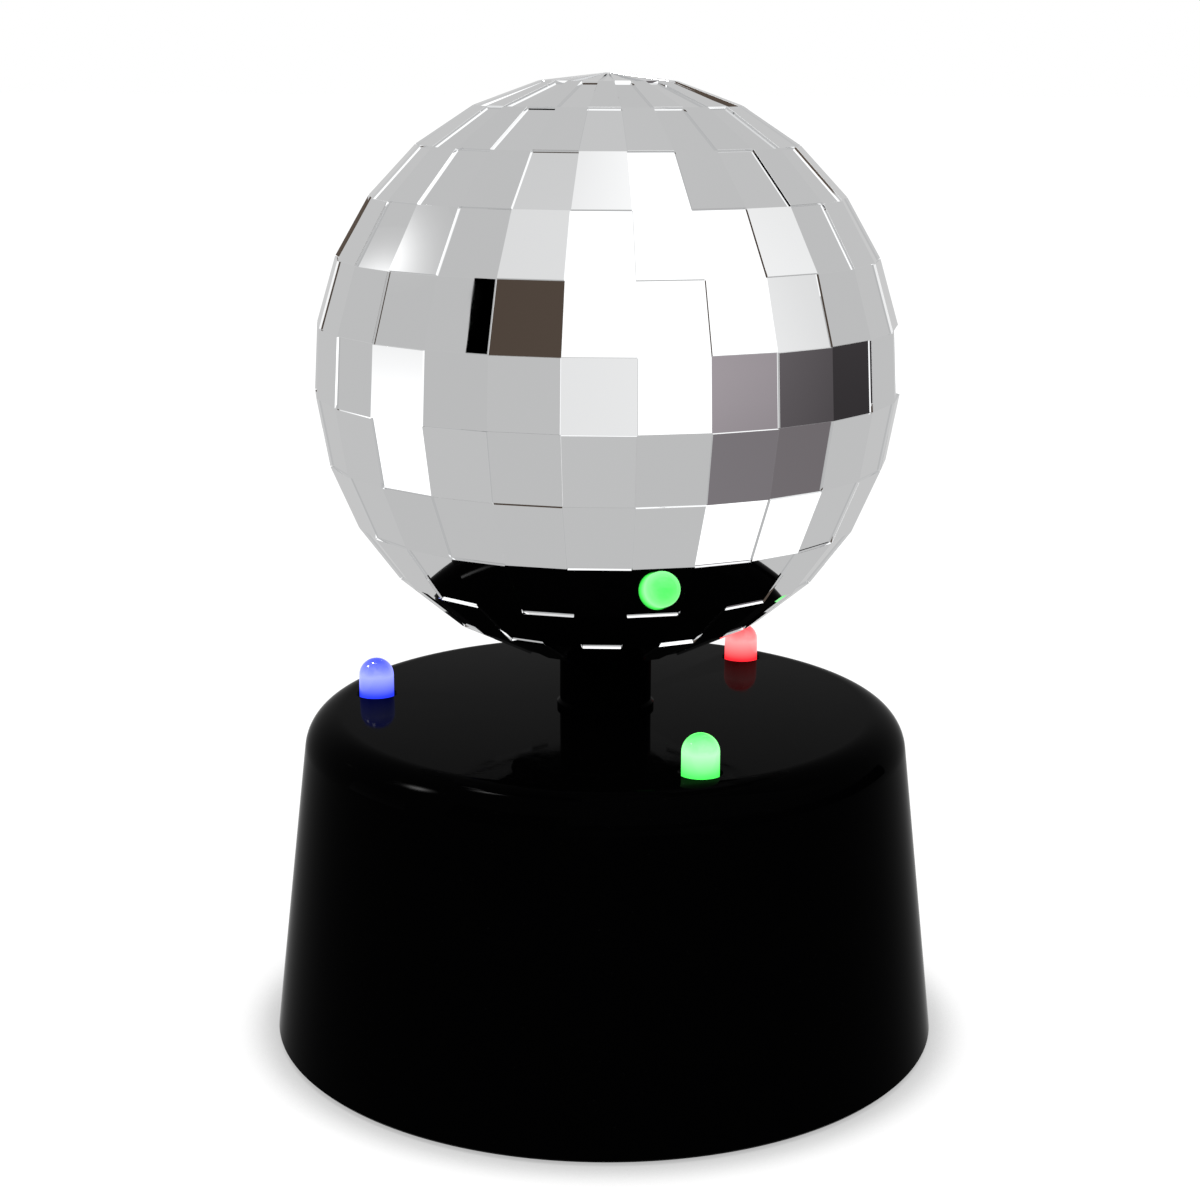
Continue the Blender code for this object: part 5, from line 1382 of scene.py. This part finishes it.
def sheet(name, surface, columns, rows, place):
    """A sheet of one finish, where a function gives the place of each corner."""
    verts = [place(i / columns, j / rows) for j in range(rows + 1) for i in range(columns + 1)]
    wide = columns + 1
    starts = [j * wide + i for j in range(rows) for i in range(columns)]
    faces = [(first, first + 1, first + wide + 1, first + wide) for first in starts]
    mesh = bpy.data.meshes.new(name)
    mesh.from_pydata(verts, [], faces)
    mesh.materials.append(surface)
    return add_object(name, mesh)


def shares(stops):
    """Stops of (place, grey or colour) as (share of the way, colour)."""
    first, last = stops[0][0], stops[-1][0]
    return [((place - first) / (last - first), as_colour(tone)) for place, tone in stops]


def blend_colour(table, share):
    for (first, low), (second, high) in zip(table, table[1:]):
        if share <= second:
            part = (share - first) / (second - first) if second > first else 0
            return tuple(a + (b - a) * part for a, b in zip(low, high))
    return table[-1][1]


def toned_card(name, columns, rows, place, tones, fade, one_sided=False):
    """A card that only gloss and glass can see, with tones along it and factors across it.

    A one-sided card lets light through from behind.
    """
    surface = bpy.data.materials.new(name)
    tree, out = bare_tree(surface, "OutputMaterial")
    shine = node(tree, "Emission", attribute(tree, "glow", "Color")).outputs[0]
    feed(out, clear_behind(tree, shine) if one_sided else shine)
    card = sheet(name, surface, columns, rows, place)
    tones, fade = shares(tones), shares(fade)
    layer = card.data.attributes.new("glow", "FLOAT_COLOR", "POINT")
    for number, corner in enumerate(layer.data):
        row, column = divmod(number, columns + 1)
        factor = blend_colour(fade, row / rows)[0]
        colour = blend_colour(tones, column / columns)
        corner.color = (*(factor * value for value in colour), 1)
    card.visible_camera = card.visible_diffuse = card.visible_shadow = False


EVEN = [(0, 1), (1, 1)]


def sky_card(name, distance, elevations, tones, fade=EVEN, lean=0.0):
    """A curved card round the ball, from the azimuth of its first tone to that of its last.

    Fade factors run along the elevation. The card's left side leans by lean degrees from its
    foot to its top.
    """
    a0, a1, lean = (math.radians(value) for value in (tones[0][0], tones[-1][0], lean))
    e0, e1 = (math.radians(value) for value in elevations)

    def place(i, j):
        azimuth = a0 + (a1 - a0) * i + lean * j * (1 - i)
        return on_sphere(distance, azimuth, e0 + (e1 - e0) * j)

    toned_card(name, 32, 16, place, tones, fade)


def low_card(name, radii, tones):
    """A level card beside the light, seen only from above, so that the base does not mirror it."""
    a0, a1 = (math.radians(tones[end][0]) for end in (0, -1))

    def place(i, j):
        return from_front(radii[0] + (radii[1] - radii[0]) * j, a0 + (a1 - a0) * i, LOW_CARD_Z)

    toned_card(name, 24, 2, place, tones, EVEN, True)


def soft_spot(name, azimuth, elevation, reach, peak, edge_tone=BACKDROP):
    """A round card that fades from its middle into the backdrop."""
    rings = 12
    middle = on_sphere(FAR, math.radians(azimuth), math.radians(elevation), (0, 0, 0))
    turn = middle.to_track_quat("Z", "Y")
    size = FAR * math.tan(math.radians(reach))
    fade = [(ring, math.exp(-4.5 * (ring / rings) ** 2)) for ring in range(rings + 1)]
    fade = [(ring, edge_tone + (peak - edge_tone) * share) for ring, share in fade]

    def place(i, j):
        return middle + turn @ from_front(size * j, TURN * i, 0) + Vector((0, 0, BALL_Z))

    toned_card(name, 32, rings, place, EVEN, fade)


def make_world():
    world = bpy.data.worlds.new("studio")
    bpy.context.scene.world = world
    tree, out = bare_tree(world, "OutputWorld")
    direction = node(tree, "TexCoord").outputs["Generated"]
    height = node(tree, "SeparateXYZ", direction).outputs["Z"]
    stops = [(0.6, BACKDROP), (0.87, BACKDROP + 0.015), (0.93, BACKDROP_HIGH)]
    looks = ((WHITE, 0.62), (ramp(tree, height, stops), 1), (WHITE, 1))
    feed(out, by_ray(tree, *(node(tree, "Background", *look).outputs[0] for look in looks)))


def make_floor():
    """Pale floor: white to the camera with a soft contact shadow, pale grey in reflections.

    It is clear from below, so that the underside can be looked at.
    """
    surface = bpy.data.materials.new("floor")
    tree, out = bare_tree(surface, "OutputMaterial")
    shade = node(tree, "AmbientOcclusion", samples=16, Distance=0.0095).outputs["AO"]
    contact = ramp(tree, shade, [(0.3, 0.46), (0.62, 0.57), (0.85, 0.9), (1, 1)])
    looks = ((WHITE, 0.5), (WHITE, BACKDROP), (contact, 1.12))
    bounce, pale, white = (node(tree, "Emission", *look).outputs[0] for look in looks)
    lit = node(tree, "BsdfDiffuse", (0.86, 0.86, 0.86, 1)).outputs[0]
    shown = by_ray(tree, bounce, pale, mix(tree, 0.12, white, lit))
    feed(out, clear_behind(tree, shown))
    sheet("floor", surface, 2, 2, lambda i, j: (24 * i - 12, 24 * j - 12, 0))


def soft_lamp(name, place, power):
    data = bpy.data.lights.new(name, "AREA")
    data.shape = "DISK"
    data.size = 0.7
    data.energy = power
    made = add_object(name, data)
    aim = Vector((0, 0, 0.06)) - Vector(place)
    turn = aim.to_track_quat("-Z", "Y").to_matrix().to_4x4()
    made.matrix_world = Matrix.Translation(place) @ turn
    made.visible_glossy = False
    made.visible_camera = False


TOP_TONES = [(-90, 0.76), (-76, 0.79), (-42, 0.92), (-19, 1.04), (-4, 1.2), (12, 1.6), (104, 1.6)]
MIDDLE_TONES = [(-60, 0.85), (-42, 0.92), (-22, 1.0), (-9, 1.5), (96, 1.5)]
RIGHT_TONES = [(60, 1.5), (90, 1.25), (93, 1.12), (97, 1.0), (104, 0.8)]
RIGHT_LOW_TONES = [(60, 1.5), (76, 1.25), (82.3, 1.03), (84.4, 0.9), (92, 0.75), (100, 0.66)]
BROWN = [(-47, (0.08, 0.056, 0.042)), (-18, (0.118, 0.092, 0.074))]
VIOLET_GREYS = [(40, 0.48), (50, 0.46), (54, 0.39), (60, 0.3), (77, 0.17), (80.6, 0.1)]
VIOLET_GREYS += [(84, 0.08), (100, 0.053), (122, 0.053)]
VIOLET = [(place, (tone, tone * 0.9, tone * 0.96)) for place, tone in VIOLET_GREYS]
FLAG_FADE = [(0, 0.8), (0.26, 0.8), (0.48, 1.0), (1, 1.0)]
STRIP_FADE = [(0, 1.0), (0.2, 1.0), (0.42, 0.68), (1, 0.6)]


def make_studio():
    make_world()
    make_floor()
    soft_lamp("key_lamp", (0.5, -0.7, 0.9), 9)
    soft_lamp("fill_lamp", (-0.8, -0.4, 0.5), 4)
    for card in (
        ("softbox_top", FAR, (66, 88), TOP_TONES),
        ("softbox_middle", FAR, (40, 66), MIDDLE_TONES),
        ("softbox_right", FAR, (28, 40), RIGHT_TONES),
        ("softbox_front", FAR, (20.5, 40), [(-14, 1.5), (60, 1.5)]),
        ("softbox_right_low", FAR, (13, 28), RIGHT_LOW_TONES),
        ("softbox_low", NEAR, (-9, 3), [(12, 1.5), (40, 1.5)]),
        ("softbox_low_edge", NEAR, (-9, 3), [(-17, 0.9), (12, 1.15)]),
        ("flag_brown", FAR, (3, 40), BROWN),
        ("flag_black", FAR, (3, 40), [(-57.5, 0), (-47, 0)], EVEN, -6.8),
        ("flag_right", NEAR, (-9, 6.5), VIOLET, FLAG_FADE),
        ("strip_left", NEAR, (-9, 9), [(-103, 1.6), (-74, 1.6)], STRIP_FADE),
    ):
        sky_card(*card)
    for card in (
        ("strip_left_low", (0.144, 0.094), [(-85, 1.6), (-70, 1.6)]),
        ("flag_low", (0.14, 0.088), [(38, (0.245, 0.225, 0.24)), (80, (0.2, 0.18, 0.19))]),
        ("bounce_low", (0.075, 0.046), [(35, 1.6), (78, 1.6)]),
    ):
        low_card(*card)
    for card in (
        ("soft_lamp_side", -95.5, 43.2, 6.8, 240),
        ("soft_lamp_high", -124.2, 66.4, 5.9, 290, 0.66),
        ("soft_lamp_glow", -100.9, 32.5, 3.2, 2.0),
        ("soft_lamp_glow_left", -121.2, 22.2, 2.6, 2.2),
        ("soft_lamp_glow_low", -90.6, 19.2, 2.4, 1.0),
    ):
        soft_spot(*card)


def main():
    bpy.context.scene.view_settings.view_transform = "Standard"
    make_camera()
    make_studio()

    mirror_plating("mirror_plating", (0.8, 0.805, 0.81), (0.765, 0.77, 0.775))
    mirror_plating("plated_walls", (0.9, 0.905, 0.91), (0.86, 0.865, 0.87))
    gloss_black()
    for name, values in MOULDINGS.items():
        moulded(name, *values)
    for name, values in METALS.items():
        metal(name, *values)
    for colour, values in LENSES.items():
        glowing(f"lens_{colour}", *values)
        make_led(colour)

    make_ball()
    make_housing()
    make_stem()
    make_screws()
    make_gears()
    make_plates()
    make_motor()
    make_hub()
    make_shafts()
    for number, side in enumerate((1, -1, 1), 1):
        make_cell(number, side)
    make_contacts()
    make_board()
    make_leads()
    make_feet()
    make_door()
    make_knob()
    finish_solids()


main()
